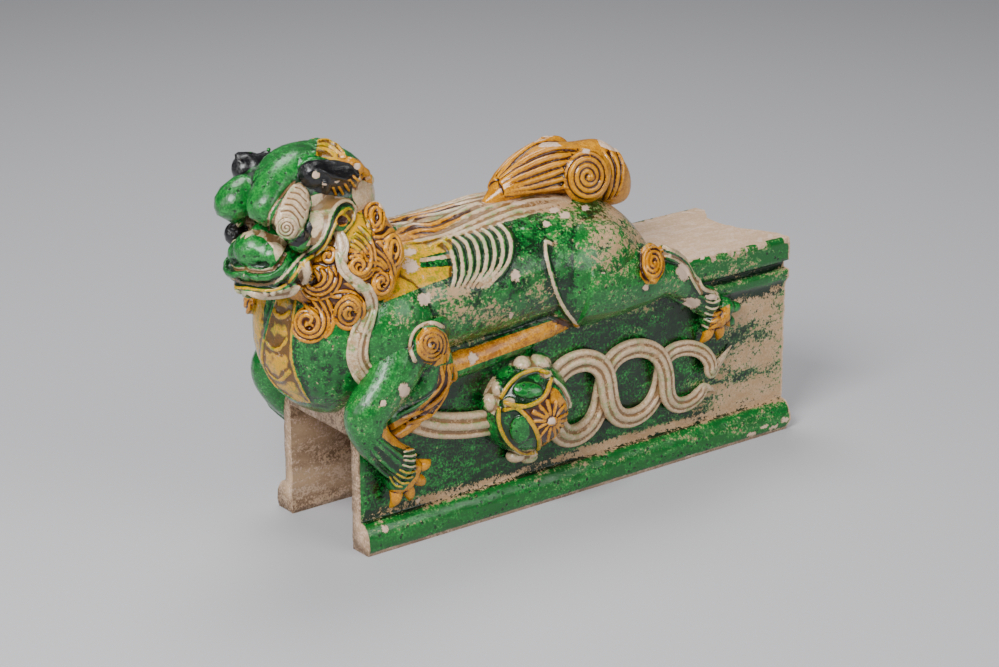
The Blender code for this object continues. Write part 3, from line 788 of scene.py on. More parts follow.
    def piece(self, name: str, material: bpy.types.Material, offset: Place) -> bpy.types.Object:
        """Makes the finished piece and fits it to the frame.

        Args:
            name: the piece's name.
            material: its glaze.
            offset: from the tile's own origin to the frame's.

        Returns:
            The piece's object.
        """
        # Painted shade in the skin's grooves and painted highlight on its ridges, added to the painted shade
        # each piece was given.
        deeper = self.values(Mask.CAVITY)
        self.paint[Mask.CAVITY] = np.clip(self.hollows() * 0.5 + 0.5 + deeper, 0, 1)
        self.write()
        for mask in Mask:
            layer = self.mesh.attributes.new(mask.value, "FLOAT", "POINT")
            layer.data.foreach_set("value", self.values(mask).astype(np.float32))
        self.mesh.transform(Matrix.Translation(offset))
        self.mesh.materials.clear()
        self.mesh.materials.append(material)
        self.mesh.polygons.foreach_set("use_smooth", [True] * len(self.mesh.polygons))
        self.mesh.name = name
        obj = placed(name, self.mesh)
        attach(obj, BODY)
        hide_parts(NODE)
        self.mesh.calc_loop_triangles()
        LOG.info("%s: %d triangles", name, len(self.mesh.loop_triangles))
        return obj


class Wiring:
    """Short ways to place and join shader nodes."""

    def __init__(self, tree: bpy.types.NodeTree) -> None:
        """Works in one node tree."""
        self.tree = tree

    def put(self, socket: bpy.types.NodeSocket, value: object) -> None:
        """Links or sets one input."""
        if isinstance(value, bpy.types.NodeSocket):
            self.tree.links.new(value, socket)
        else:
            socket.default_value = value

    def math(self, operation: str, a: object, b: object = 0.0, clamp: bool = False) -> bpy.types.NodeSocket:
        """One arithmetic step."""
        node = self.tree.nodes.new("ShaderNodeMath")
        node.operation = operation
        node.use_clamp = clamp
        self.put(node.inputs[0], a)
        self.put(node.inputs[1], b)
        return node.outputs[0]

    def mix(self, share: object, a: object, b: object) -> bpy.types.NodeSocket:
        """Goes from colour a to colour b."""
        node = self.tree.nodes.new("ShaderNodeMix")
        node.data_type = "RGBA"
        for index, value in ((0, share), (6, a), (7, b)):
            self.put(node.inputs[index], value)
        return node.outputs[2]

    def blend(self, share: object, a: object, b: object) -> bpy.types.NodeSocket:
        """Goes from number a to number b."""
        node = self.tree.nodes.new("ShaderNodeMix")
        for index, value in ((0, share), (2, a), (3, b)):
            self.put(node.inputs[index], value)
        return node.outputs[0]

    def step(self, value: object, low: float, high: float) -> bpy.types.NodeSocket:
        """Eases from 0 at low to 1 at high."""
        node = self.tree.nodes.new("ShaderNodeMapRange")
        node.interpolation_type = "SMOOTHSTEP"
        for index, number in ((0, value), (1, low), (2, high), (3, 0.0), (4, 1.0)):
            self.put(node.inputs[index], number)
        return node.outputs[0]

    def noise(
        self, place: object, scale: object, detail: float = 3.0, rough: float = 0.6
    ) -> bpy.types.NodeSocket:
        """Cloudy noise around 0.5."""
        node = self.tree.nodes.new("ShaderNodeTexNoise")
        self.put(node.inputs["Vector"], place)
        self.put(node.inputs["Scale"], scale)
        node.inputs["Detail"].default_value = detail
        node.inputs["Roughness"].default_value = rough
        return node.outputs["Fac"]

    def cells(self, place: object, scale: float) -> bpy.types.NodeSocket:
        """The distance to the nearest of many scattered points, against their spacing."""
        node = self.tree.nodes.new("ShaderNodeTexVoronoi")
        self.put(node.inputs["Vector"], place)
        node.inputs["Scale"].default_value = scale
        return node.outputs["Distance"]


@dataclass(frozen=True)
class GlazeColours:
    """The colours of the three lead glazes, the black one and the clay, in linear light."""

    green_deep: tuple = (0.001, 0.017, 0.003, 1.0)
    green_mid: tuple = (0.002, 0.092, 0.011, 1.0)
    green_light: tuple = (0.014, 0.275, 0.038, 1.0)
    green_thin: tuple = (0.19, 0.37, 0.13, 1.0)
    amber_deep: tuple = (0.05, 0.01, 0.0, 1.0)
    amber_mid: tuple = (0.35, 0.115, 0.0, 1.0)
    amber_light: tuple = (0.73, 0.31, 0.001, 1.0)
    yellow_mid: tuple = (0.66, 0.33, 0.0, 1.0)
    yellow_green: tuple = (0.28, 0.24, 0.001, 1.0)
    cream_deep: tuple = (0.2, 0.1, 0.035, 1.0)
    cream_mid: tuple = (0.46, 0.285, 0.14, 1.0)
    cream_light: tuple = (0.68, 0.52, 0.34, 1.0)
    black: tuple = (0.004, 0.004, 0.005, 1.0)
    clay: tuple = (0.56, 0.37, 0.22, 1.0)
    clay_pale: tuple = (0.76, 0.56, 0.44, 1.0)
    clay_dark: tuple = (0.14, 0.075, 0.038, 1.0)
    chip_pale: tuple = (0.68, 0.49, 0.36, 1.0)


class LeadGlaze:
    """The shared node group that pools, wears and chips the coloured glazes, with painted shade and
    highlight.
    """

    PAINTS = tuple(mask.value.title() for mask in Mask)
    SETTINGS = ("Mottle Scale", "Stretch", "Wear", "Brightness", "Clay Dark")

    def __init__(self, colours: GlazeColours) -> None:
        """Builds the group once.

        Args:
            colours: the colours of the glazes and the clay.
        """
        self.tree = bpy.data.node_groups.new("lead_glaze", "ShaderNodeTree")
        for name in (*self.PAINTS, *self.SETTINGS):
            self.tree.interface.new_socket(name, in_out="INPUT", socket_type="NodeSocketFloat")
        for name, kind in (("Color", "Color"), ("Roughness", "Float"), ("Height", "Float")):
            self.tree.interface.new_socket(name, in_out="OUTPUT", socket_type="NodeSocket" + kind)
        self.wire(colours)

    def wire(self, c: GlazeColours) -> None:
        """Places the nodes of the group.

        Args:
            c: the colours of the glazes and the clay.
        """
        w = Wiring(self.tree)
        start, end = self.tree.nodes.new("NodeGroupInput"), self.tree.nodes.new("NodeGroupOutput")
        given = start.outputs
        place = self.tree.nodes.new("ShaderNodeTexCoord").outputs["Object"]
        size = given["Mottle Scale"]
        drawn = self.tree.nodes.new("ShaderNodeCombineXYZ")
        w.put(drawn.inputs["X"], given["Stretch"])
        drawn.inputs["Y"].default_value = drawn.inputs["Z"].default_value = 1.0
        streaked = self.tree.nodes.new("ShaderNodeVectorMath")
        streaked.operation = "MULTIPLY"
        w.put(streaked.inputs[0], place)
        w.put(streaked.inputs[1], drawn.outputs["Vector"])
        run = streaked.outputs["Vector"]
        broad = w.noise(run, w.math("MULTIPLY", size, 30.0), 4.0)
        medium = w.noise(run, w.math("MULTIPLY", size, 150.0), 5.0, 0.68)
        fine = w.noise(place, w.math("MULTIPLY", size, 560.0), 4.0, 0.7)
        grit = w.noise(place, 300.0, 4.0, 0.75)
        pits = w.cells(place, 190.0)
        # Painted shade darkens the grooves, over the glaze pooled there, and a painted highlight lightens
        # the ridges.
        hollow = given["Cavity"]
        groove = w.step(hollow, 0.54, 0.78)
        ridge = w.step(hollow, 0.46, 0.18)

        def mixed(start: object, *parts: tuple) -> bpy.types.NodeSocket:
            """A value moved up and down by several noises, each by its own amount."""
            total = start
            for noise, amount in parts:
                total = w.math("ADD", total, w.math("MULTIPLY", w.math("SUBTRACT", noise, 0.5), amount))
            return total

        tone = mixed(0.5, (broad, 1.2), (medium, 2.0), (fine, 2.6), (given["Brightness"], 0.5))
        green = w.mix(w.step(tone, 0.30, 0.52), c.green_deep, c.green_mid)
        green = w.mix(w.step(tone, 0.54, 0.92), green, c.green_light)
        # Painted highlight on the ridges.
        green = w.mix(w.math("MULTIPLY", ridge, 0.35), green, c.green_light)
        wear = w.math("ADD", given["Worn"], given["Wear"])
        wear = mixed(wear, (medium, 1.8), (fine, 1.6), (grit, 1.8), (broad, 1.2))
        thin = w.math("MULTIPLY", w.step(wear, 0.22, 0.50), 0.45)
        green = w.mix(thin, green, c.green_thin)
        pitted = w.math("MULTIPLY", w.step(pits, 0.36, 0.20), w.step(medium, 0.47, 0.54))
        green = w.mix(w.math("MULTIPLY", pitted, 0.85), green, c.green_deep)
        # Painted shade in the grooves.
        green = w.mix(w.math("MULTIPLY", groove, 0.9), green, c.green_deep)

        amber = w.mix(w.step(tone, 0.25, 0.80), c.amber_mid, c.amber_light)
        amber = w.mix(w.math("MULTIPLY", ridge, 0.4), amber, c.amber_light)
        amber = w.mix(groove, amber, c.amber_deep)
        yellow = w.mix(w.step(tone, 0.20, 0.60), c.yellow_green, c.yellow_mid)
        yellow = w.mix(w.math("MULTIPLY", groove, 0.85), yellow, c.amber_deep)
        cream = w.mix(w.step(tone, 0.25, 0.75), c.cream_mid, c.cream_light)
        tint = w.math("MULTIPLY", w.step(w.noise(run, 70.0, 4.0), 0.52, 0.60), 0.7)
        cream = w.mix(w.math("MULTIPLY", tint, w.step(grit, 0.36, 0.56)), cream, c.green_light)
        cream = w.mix(w.math("MULTIPLY", ridge, 0.4), cream, c.cream_light)
        cream = w.mix(w.math("MULTIPLY", groove, 0.9), cream, c.cream_deep)

        def edged(name: str, amount: float, crumbs: float) -> bpy.types.NodeSocket:
            """A mask whose edge follows the mottling."""
            return w.step(mixed(given[name], (medium, amount), (grit, crumbs)), 0.42, 0.58)

        color = w.mix(edged("Cream", 0.7, 1.2), green, cream)
        color = w.mix(edged("Yellow", 0.6, 0.6), color, yellow)
        color = w.mix(edged("Amber", 0.4, 0.3), color, amber)
        worn = w.step(wear, 0.48, 0.62)
        rubbed = w.mix(w.step(tone, 0.30, 0.70), c.clay, c.cream_mid)
        color = w.mix(worn, color, rubbed)
        color = w.mix(edged("Black", 0.1, 0.1), color, c.black)
        bare = edged("Bare", 0.35, 0.3)
        body = w.mix(w.step(tone, 0.25, 0.75), c.clay, c.clay_pale)
        dark_body = w.mix(w.step(tone, 0.25, 0.75), c.clay_dark, c.clay)
        body = w.mix(w.math("MULTIPLY", given["Clay Dark"], w.step(broad, 0.3, 0.6)), body, dark_body)
        pale = w.mix(w.step(tone, 0.1, 0.8), c.clay, c.chip_pale)
        color = w.mix(bare, color, w.mix(given["Worn"], body, pale))
        broken = mixed(given["Chip"], (grit, 2.0), (medium, 1.2))
        chip = w.step(broken, 0.48, 0.53)
        color = w.mix(chip, color, w.mix(w.step(broken, 0.52, 0.72), c.clay, c.chip_pale))

        matt = w.math("MAXIMUM", w.math("MULTIPLY", worn, 0.75), w.math("MAXIMUM", bare, chip))
        roughness = w.blend(matt, w.blend(w.step(tone, 0.2, 0.8), 0.10, 0.26), 0.72)
        height = mixed(0.0, (medium, 0.9), (fine, 0.5), (grit, 0.5))
        for part, depth in ((worn, 0.3), (chip, 1.2), (pitted, 0.8)):
            height = w.math("SUBTRACT", height, w.math("MULTIPLY", part, depth))
        w.put(end.inputs["Color"], color)
        w.put(end.inputs["Roughness"], roughness)
        w.put(end.inputs["Height"], height)


@dataclass(frozen=True)
class Finish:
    """One piece's share of the glaze: how mottled, worn and bright it is."""

    name: str
    mottle: float = 1.0
    stretch: float = 1.0
    wear: float = 0.0
    brightness: float = 0.5
    clay_dark: float = 0.0
    bump: float = 0.5
    coat: float = 0.25

    def material(self, glaze: LeadGlaze) -> bpy.types.Material:
        """Makes the material.

        Args:
            glaze: the shared group.

        Returns:
            The material, which reads the paint on the skin.
        """
        material = bpy.data.materials.new(self.name)
        material.use_nodes = True
        tree = material.node_tree
        shader = tree.nodes["Principled BSDF"]
        group = tree.nodes.new("ShaderNodeGroup")
        group.node_tree = glaze.tree
        relief = tree.nodes.new("ShaderNodeBump")
        for mask in Mask:
            layer = tree.nodes.new("ShaderNodeAttribute")
            layer.attribute_name = mask.value
            tree.links.new(layer.outputs["Fac"], group.inputs[mask.value.title()])
        for node, name, value in (
            (group, "Mottle Scale", self.mottle), (group, "Stretch", self.stretch),
            (group, "Wear", self.wear), (group, "Brightness", self.brightness),
            (group, "Clay Dark", self.clay_dark), (relief, "Strength", self.bump),
            (relief, "Distance", 0.0006), (shader, "IOR", 1.5),
            (shader, "Coat Weight", self.coat), (shader, "Coat Roughness", 0.06),
        ):
            node.inputs[name].default_value = value
        for source, name, target in (
            (group.outputs["Height"], "Height", relief), (relief.outputs["Normal"], "Normal", shader),
            (group.outputs["Color"], "Base Color", shader),
            (group.outputs["Roughness"], "Roughness", shader),
        ):
            tree.links.new(source, target.inputs[name])
        return material


@dataclass(frozen=True)
class Workshop:
    """What every piece is made with."""

    view: PhotoView
    cords: CordTree
    glaze: LeadGlaze
    offset: Place


@dataclass
class Piece:
    """A piece of the lion, which is modelled, joined, cut, thinned and glazed in that order."""

    name: str = "piece"
    finish: Finish = Finish("glaze")
    voxel: float = 0.00078
    smoothing: int = 1
    triangles: int = 0
    holds_edges: bool = True
    on_trunk: bool = False
    near: int = -1

    def frame(self) -> Matrix:
        """From the piece's own frame to the tile's."""
        return Matrix.Identity(4)

    def model(self, clay: Clay) -> None:
        """Presses the forms together and lays the cords on them."""
        raise NotImplementedError

    def cut(self, skin: Skin) -> None:
        """Cuts and pricks the joined skin."""

    def paint(self, skin: Skin) -> None:
        """Glazes the skin."""

    def build(self, shop: Workshop, trunk: Clay) -> bpy.types.Object:
        """Makes the piece.

        Args:
            shop: what every piece is made with.
            trunk: the trunk's forms, which some pieces lie on.

        Returns:
            The finished piece.
        """
        clay = Clay(shop, self.frame(), self.near, trunk if self.on_trunk else None)
        self.model(clay)
        skin = clay.join(self.voxel, self.smoothing)
        self.cut(skin)
        skin.write()
        skin.read()
        if self.triangles:
            skin.thin(self.triangles, self.paint if self.holds_edges else None)
        self.paint(skin)
        return skin.piece(self.name, self.finish.material(shop.glaze), shop.offset)


def spiral(centre: Pixel, radii: Pixel, turns: float, start: float, hand: int, core: float = 0.08) -> Path:
    """A line of pixels that winds from an ellipse's rim to its middle.

    Args:
        centre: the ellipse's middle.
        radii: its half width and half height.
        turns: how often it winds.
        start: where it starts, in degrees clockwise from the right.
        hand: 1 where it winds clockwise.
        core: where it ends, against the whole.

    Returns:
        The line.
    """
    shares = np.linspace(0, 1, int(18 * turns))
    angles = np.radians(start + hand * 360 * turns * shares)
    reach = 1 - (1 - core) * shares - 0.5 * (1 - core) / turns * (1 - shares)
    (x, y), (wide, high) = centre, radii
    return [(x + wide * r * math.cos(a), y + high * r * math.sin(a)) for r, a in zip(reach, angles)]


@dataclass
class RidgeTile:
    """The tile: two walls under a slab, open below and at both ends."""

    length: float = 0.460
    height: float = 0.178
    wall_face: float = 0.054
    wall_inner: float = 0.044
    slab_underside: float = 0.160
    mouth_height: float = 0.098
    chest_solid: float = 0.050
    foot_projection: float = 0.013
    cornice_start: float = 0.107
    cornice_face: float = 0.058
    ring_step: float = 0.0028
    finish: Finish = Finish("tile_glaze", 0.9, 0.4, -0.20, 0.30, 0.9, 0.55, 0.15)
    break_ys: tuple = (-0.062, -0.044, -0.027, -0.009, 0.009, 0.027, 0.044, 0.062)
    break_depths: tuple = (0.0, 0.001, 0.01, 0.02, 0.024, 0.023, 0.01, 0.014)
    chips: tuple = (
        ((385, 529), (4.2, 3.8)), ((760, 240), (3.2, 3.2)), ((770, 236), (4.0, 3.0)), ((702, 257),
        (3.0, 2.6)), ((712, 253), (3.0, 2.6)), ((724, 250), (2.6, 3.0)), ((510, 360), (1.8, 1.6)),
        ((770, 427), (13.0, 1.6)), ((752, 434), (8.0, 1.6)), ((785, 420), (4.0, 3.0)), ((418, 502),
        (3.2, 2.8)),
    )
    bands: tuple = (
        (0.1345, 0.0), (0.138, 0.55), (0.141, 1.0), (0.145, 1.0), (0.1484, 1.0), (0.1491, -0.6),
        (0.1525, -0.6), (0.1562, -0.6), (0.1568, 1.0), (0.16, 1.0), (0.164, 1.0), (0.168, 1.0),
        (0.172, 1.0), (0.175, 0.95),
    )

    def outline(self, cornice: float, top: float) -> np.ndarray:
        """The closed section of the tile.

        Args:
            cornice: 1 where the cornice stands out, 0 where the wall is plain.
            top: the height of the channel.

        Returns:
            Rows of y and z, from the front foot over the top and back through the channel.
        """
        outer = [(self.wall_face + self.foot_projection - 0.0015, 0.0)]
        for k in range(11):
            angle = math.pi / 2 * k / 10
            reach = self.foot_projection * math.cos(angle) ** 0.8
            outer.append((self.wall_face + reach, 0.006 + 0.020 * math.sin(angle)))
        outer.append((self.wall_face, 0.0275))
        outer += [(self.wall_face, z) for z in np.linspace(0.031, 0.130, 34)]
        stand = self.cornice_face - self.wall_face
        outer += [(self.wall_face + cornice * stand * share, z) for z, share in self.bands]
        edge = self.wall_face + cornice * stand
        outer += [(edge - 0.0012, self.height - 0.0009), (edge - 0.003, self.height)]
        flat = [(y, self.height) for y in np.linspace(edge - 0.006, -edge + 0.006, 30)]
        front = [(-y, z) for y, z in outer]
        inner = [(self.wall_inner, z) for z in np.linspace(0.0, top, 20)]
        roof = [(y, top) for y in np.linspace(self.wall_inner, -self.wall_inner, 12)[1:-1]]
        rows = front + [(-y, z) for y, z in flat] + outer[::-1]
        rows += [(self.wall_face + 0.008, 0.0), (self.wall_face, 0.0), (self.wall_inner + 0.005, 0.0)]
        rows += inner + roof + [(-y, z) for y, z in inner[::-1]]
        rows += [(-self.wall_inner - 0.005, 0.0), (-self.wall_face, 0.0), (-self.wall_face - 0.008, 0.0)]
        return np.array(rows)

    def rear_end(self, points: np.ndarray) -> np.ndarray:
        """How far each point may reach to the rear, where the slab's edge is broken."""
        y, z = points[:, 1], points[:, 2]
        lost = np.interp(y, self.break_ys, self.break_depths)
        low = 0.168 - 0.028 * (y + 0.062) / 0.124
        lost = lost * smooth_step(z, low - 0.003, low + 0.002)
        ragged = 0.0011 * grain(points * (0, 1, 1), 0.006, 5) + 0.0006 * grain(points * (0, 1, 1), 0.0022, 6)
        lower_chip = 0.006 * smooth_step(-y, 0.055, 0.066) * smooth_step(-z, -0.010, -0.001)
        return self.length / 2 - lost + ragged - 0.0008 - lower_chip

    def build(self, shop: Workshop) -> bpy.types.Object:
        """Makes the tile.

        Args:
            shop: what every piece is made with.

        Returns:
            The finished piece.
        """
        half = self.length / 2
        step_x = -half + self.chest_solid
        stations = list(np.arange(-half, half - 0.001, self.ring_step)) + [half - 0.0006, half]
        stations = [-half, -half + 0.0006] + [x for x in stations if x > -half + 0.001]
        stations = sorted(x for x in stations if min(abs(x - step_x), abs(x - self.cornice_start)) > 0.0009)
        stations += [step_x - 0.0004, step_x + 0.0004]
        stations += [self.cornice_start - 0.0008, self.cornice_start + 0.0008]
        stations.sort()
        shape = bmesh.new()
        loops = []
        for index, x in enumerate(stations):
            top = self.mouth_height if x < step_x else self.slab_underside
            rows = self.outline(1.0 if x > self.cornice_start else 0.0, top)
            points = np.c_[np.full(len(rows), x), rows]
            rear = self.rear_end(points) - 0.00005 * (len(stations) - index)
            points[:, 0] = np.minimum(points[:, 0], rear)
            front_edge = 0.0005 * grain(points * (0, 1, 1), 0.005, 7)
            points[:, 0] = np.maximum(points[:, 0], -half + front_edge + 0.0004 + 0.00005 * index)
            wave = 0.0005 * grain(points, 0.030, 1) + 0.00022 * grain(points, 0.008, 2)
            away = np.sign(points[:, 1]) * wave * smooth_step(points[:, 2], 0.001, 0.006)
            points[:, 1] += away
            points[:, 2] += wave * smooth_step(points[:, 2], 0.17, 0.178)
            loops.append([shape.verts.new(p) for p in points])
        count = len(loops[0])
        for one, two in zip(loops, loops[1:]):
            for i in range(count):
                j = (i + 1) % count
                shape.faces.new((one[i], one[j], two[j], two[i]))
        shape.faces.new(loops[0])
        shape.faces.new(loops[-1][::-1])
        bmesh.ops.recalc_face_normals(shape, faces=shape.faces)
        bmesh.ops.triangulate(shape, faces=[f for f in shape.faces if len(f.verts) > 4])
        mesh = bpy.data.meshes.new("ridge_tile")
        shape.to_mesh(mesh)
        shape.free()
        skin = Skin(mesh, shop.view, Matrix.Identity(4), -1)
        self.paint(skin, half)
        return skin.piece("ridge_tile", self.finish.material(shop.glaze), shop.offset)

    def paint(self, skin: Skin, half: float) -> None:
        """Glazes the outside, and leaves the ends, the channel and the top bare.

        Args:
            skin: the tile's skin.
            half: half of the tile's length.
        """
        x, y, z = skin.points.T
        depth = np.abs(y)
        channel = smooth_step(-depth, -self.wall_inner - 0.004, -self.wall_inner - 0.001)
        channel *= 1 - smooth_step(z, self.slab_underside + 0.002, self.slab_underside + 0.006)
        rear = smooth_step(x, half - 0.0022, half - 0.0010)
        fracture = smooth_step(x - self.rear_end(skin.points), -0.0016, -0.0006)
        front = smooth_step(-x, half - 0.0022, half - 0.0010)
        bottom = smooth_step(-z, -0.0012, -0.0004)
        ragged = 0.004 * grain(skin.points, 0.006, 11) + 0.0018 * grain(skin.points, 0.0025, 12)
        top = smooth_step(z, self.height - 0.0016, self.height - 0.0004)
        top *= smooth_step(-depth + ragged, -0.056, -0.053)
        scallop = smooth_step(z + 0.6 * ragged, self.height - 0.0060, self.height - 0.0030)
        scallop *= smooth_step(x, 0.12, 0.14)
        scallop *= smooth_step(grain(skin.points * (1, 0, 0), 0.005, 13), -0.1, 0.2)
        for part in (channel, rear, fracture, front, bottom, top, scallop):
            skin.add(Mask.BARE, part)
        skin.add(Mask.WORN, np.maximum(top, fracture))
        fade = smooth_step(x, 0.09, 0.17) * 0.80
        fade += 0.30 * smooth_step(x, 0.02, 0.12) * smooth_step(-z, -0.060, -0.035)
        streak = grain(skin.points * (0.25, 0, 1.0) + 0.4 * x[:, None] * (0, 0, 0.30), 0.011, 14)
        wall = smooth_step(z, 0.028, 0.032) * (1 - smooth_step(z, 0.128, 0.140))
        skin.add(Mask.WORN, wall * np.clip(fade + 0.36 * streak * smooth_step(x, -0.10, 0.12), 0, 1))
        cornice = smooth_step(z, 0.138, 0.142) * (0.40 + 0.25 * grain(skin.points * (0.3, 1, 1), 0.009, 15))
        skin.add(Mask.WORN, cornice)
        moulding = 1 - smooth_step(z, 0.026, 0.029)
        smear = grain(skin.points * (0.22, 1, 1.6), 0.010, 16)
        smear += 0.5 * grain(skin.points * (0.3, 1, 1.6), 0.004, 17)
        foot_wear = moulding * (0.26 + 0.30 * smear) * (0.45 + 0.75 * smooth_step(z, 0.006, 0.022))
        skin.add(Mask.WORN, np.clip(foot_wear, 0, 1))
        line = np.exp(-(((z - 0.0300) / 0.0046) ** 2))
        line *= 0.85 + 0.55 * grain(skin.points * (0.3, 1, 1), 0.016, 18)
        skin.add(Mask.WORN, np.clip(1.3 * line, 0, 1))
        skin.spots(Mask.CHIP, self.chips)
        skin.clear(Mask.WORN, 0.35 * smooth_step(-x, -0.06, 0.14) * wall)


@dataclass
class Trunk(Piece):
    """The lion's body, chest and haunches with the low relief on them."""

    stations: tuple = (
        (-0.245, 0.19, 0.05, 0.05), (-0.185, 0.192, 0.07, 0.057), (-0.125, 0.194, 0.074, 0.054),
        (-0.06, 0.197, 0.074, 0.055), (0.0, 0.197, 0.074, 0.054), (0.043, 0.19, 0.068, 0.05),
        (0.072, 0.183, 0.056, 0.037), (0.093, 0.176, 0.034, 0.01),
    )
    chest: tuple = ((-0.222, 0.0, 0.18), (0.058, 0.062, 0.073))
    shoulder: tuple = ((-0.192, 0.044, 0.184), (0.044, 0.036, 0.046))
    haunch: tuple = ((0.004, 0.046, 0.19), (0.058, 0.036, 0.047))
    neck: tuple = ((-0.219, 0.0, 0.236), (0.052, 0.064, 0.055))
    belly: tuple = (
        (-0.155, 0.05, 0.139, 0.012), (-0.1, 0.052, 0.143, 0.012), (-0.05, 0.052, 0.151, 0.012),
        (-0.01, 0.048, 0.158, 0.012),
    )
    name: str = "lion_body"
    smoothing: int = 2
    voxel: float = 0.00115
    triangles: int = 150000
    finish: Finish = Finish("body_glaze", wear=-0.06, brightness=0.55, bump=0.6, coat=0.2)
    first_rib: Path = ((440, 241), (449, 247), (454, 262), (455, 276), (452, 289))
    last_rib: Path = ((499, 224), (508, 234), (511, 249), (506, 266), (488, 286))
    rib_count: int = 8
    hip: Path = ((552, 244), (546, 242), (546, 254), (550, 272), (557, 294), (566, 311), (578, 327))
    crest_lines: tuple = (
        ((398, 231), (412, 225), (432, 225), (452, 215), (472, 206), (490, 198)), ((400, 236), (418, 231),
        (436, 230), (456, 221), (478, 211), (500, 202)), ((402, 243), (424, 240), (446, 235), (470, 224),
        (498, 211), (530, 201), (560, 197)), ((430, 246), (452, 237), (480, 226), (512, 213), (545, 206),
        (568, 199)),
    )
    plate_left: Path = ((277, 296), (270, 318), (264, 342), (263, 360), (270, 378), (284, 393), (298, 402))
    plate_right: Path = ((298, 290), (295, 312), (292, 338), (292, 358), (297, 376), (304, 391), (311, 403))
    plates: tuple = (
        ((273, 306), (277, 315), (284, 317), (291, 311)), ((266, 340), (271, 347), (279, 349), (288, 338)),
        ((266, 366), (272, 376), (281, 380), (290, 370)),
    )
    yellow_saddle: Path = (
        (396, 240), (430, 243), (452, 238), (452, 250), (420, 258), (420, 268), (452, 266), (452, 276),
        (420, 288), (400, 296), (384, 302), (388, 280),
    )
    back: Path = (
        (396, 226), (440, 216), (490, 192), (570, 188), (572, 203), (540, 212), (505, 222), (480, 232),
        (455, 236), (430, 245), (400, 244),
    )
    amber_strand: Path = ((396, 234), (414, 228), (434, 228), (452, 219), (470, 211))
    yellow_strand: Path = ((400, 246), (424, 243), (446, 238))
    cream_strand: Path = ((408, 262), (430, 259), (452, 256))
    belly_outline: Path = (
        (440, 352), (470, 348), (560, 318), (580, 326), (560, 334), (455, 372), (440, 375),
    )
    nape: Path = (
        (386, 236), (400, 226), (440, 218), (462, 211), (462, 220), (440, 232), (416, 240), (398, 250),
    )
    wear: tuple = (
        ((478, 312), (46, 14), 0.6), ((606, 236), (20, 40), 0.8), ((618, 210), (20, 22), 0.95), ((548, 206),
        (34, 8), 0.85), ((608, 310), (30, 8), 0.7), ((452, 292), (40, 10), 0.8), ((536, 292), (22, 20),
        0.45), ((444, 322), (8, 30), 0.6), ((640, 232), (20, 26), 0.85), ((400, 320), (16, 10), 0.45),
        ((470, 345), (40, 8), 0.45), ((575, 220), (16, 10), 0.45),
    )
    chips: tuple = (
        ((424, 299), (6.5, 7)), ((515, 276), (4.5, 6.5)), ((411, 267), (7.5, 7)), ((511, 315), (2.2, 3.4)),
        ((565, 215), (5, 3.4)), ((546, 224), (4, 3)), ((585, 208), (4, 3)), ((603, 277), (3, 6)),
        ((518, 203), (7, 2.4)), ((409, 252), (8, 3.4)), ((554, 210), (4.5, 3)), ((473, 358), (5, 5.5)),
    )

    def ribs(self) -> list[Path]:
        """The middle line of each rib."""
        return between(self.first_rib, self.last_rib, self.rib_count)

    def forms(self, clay: Clay) -> None:
        """Presses together the plain forms of the trunk.

        Args:
            clay: the clay that takes them.
        """
        clay.loft(self.stations)
        clay.ball(*self.chest)
        clay.ball(*self.neck)
        clay.ball(*self.shoulder, Side.BOTH)
        clay.ball(*self.haunch, Side.BOTH)
        clay.limb(self.belly)
        clay.press()

    def model(self, clay: Clay) -> None:
        """Lays the ribs, the hip line, the crest and the chest's plates on the trunk.

        Args:
            clay: the clay that takes them.
        """
        self.forms(clay)
        clay.lay(self.ribs(), 0.0023, 0.0, ends=(0.4, 0.2))
        clay.cord(self.hip, 0.0021, 0.15, ends=(0.9, 0.5))
        clay.lay(self.crest_lines, 0.0030, -0.4, ends=(0.6, 0.4))
        clay.lay((self.plate_left, self.plate_right), 0.0013, 0.2, side=Side.NEAR)
        clay.lay(self.plates, 0.0014, 0.1, side=Side.NEAR)

    def cut(self, skin: Skin) -> None:
        """Keeps the clay out of the tile's channel and gives it slow waves.

        Args:
            skin: the trunk's skin.
        """
        x, y, z = skin.points.T
        within = (np.abs(y) < 0.0500) & (x > MOUTH_END) & (z < CHANNEL_TOP)
        skin.points[within, 2] = CHANNEL_TOP
        skin.push(0.0007 * grain(skin.points, 0.022, 21) + 0.00025 * grain(skin.points, 0.006, 22))

    def paint(self, skin: Skin) -> None:
        """Glazes the trunk.

        Args:
            skin: the trunk's skin.
        """
        x, y, z = skin.points.T
        skin.zone(Mask.CREAM, self.back, 2.0)
        skin.stroke(Mask.AMBER, self.amber_strand, 3.4)
        skin.stroke(Mask.YELLOW, self.yellow_strand, 4.0)
        skin.zone(Mask.YELLOW, self.yellow_saddle, 2.0)
        for rib in self.ribs():
            skin.stroke(Mask.CREAM, rib, 3.6, 2.4)
        skin.stroke(Mask.CREAM, self.hip, 3.4)
        skin.stroke(Mask.CREAM, self.cream_strand, 4.0)
        plate = self.plate_left + self.plate_right[::-1]
        # The chest plate is darkened with the painted shadow of the chin; the belly band is darkened the
        # same way.
        for mask, outline in ((Mask.AMBER, self.belly_outline), (Mask.YELLOW, plate)):
            skin.zone(mask, outline, 1.4)
            skin.zone(Mask.CAVITY, outline, 1.4, 0.21)
        skin.zone(Mask.AMBER, self.nape, 3.0, 0.62)
        skin.rub(self.wear)
        skin.spots(Mask.CHIP, self.chips)
        skin.add(Mask.BARE, smooth_step(-z, -0.115, -0.108) * smooth_step(-x, 0.14, 0.17))


class WallPiece(Piece):
    """A piece in relief on the tile's walls."""

    def cut(self, skin: Skin) -> None:
        """Keeps the relief out of the tile's channel.

        Args:
            skin: the piece's skin.
        """
        x, y, z = skin.points.T
        inner = (np.abs(y) < WALL_DEPTH) & (x > MOUTH_END) & (z < CHANNEL_TOP)
        skin.points[inner, 1] = np.where(y[inner] < 0, -WALL_DEPTH, WALL_DEPTH)


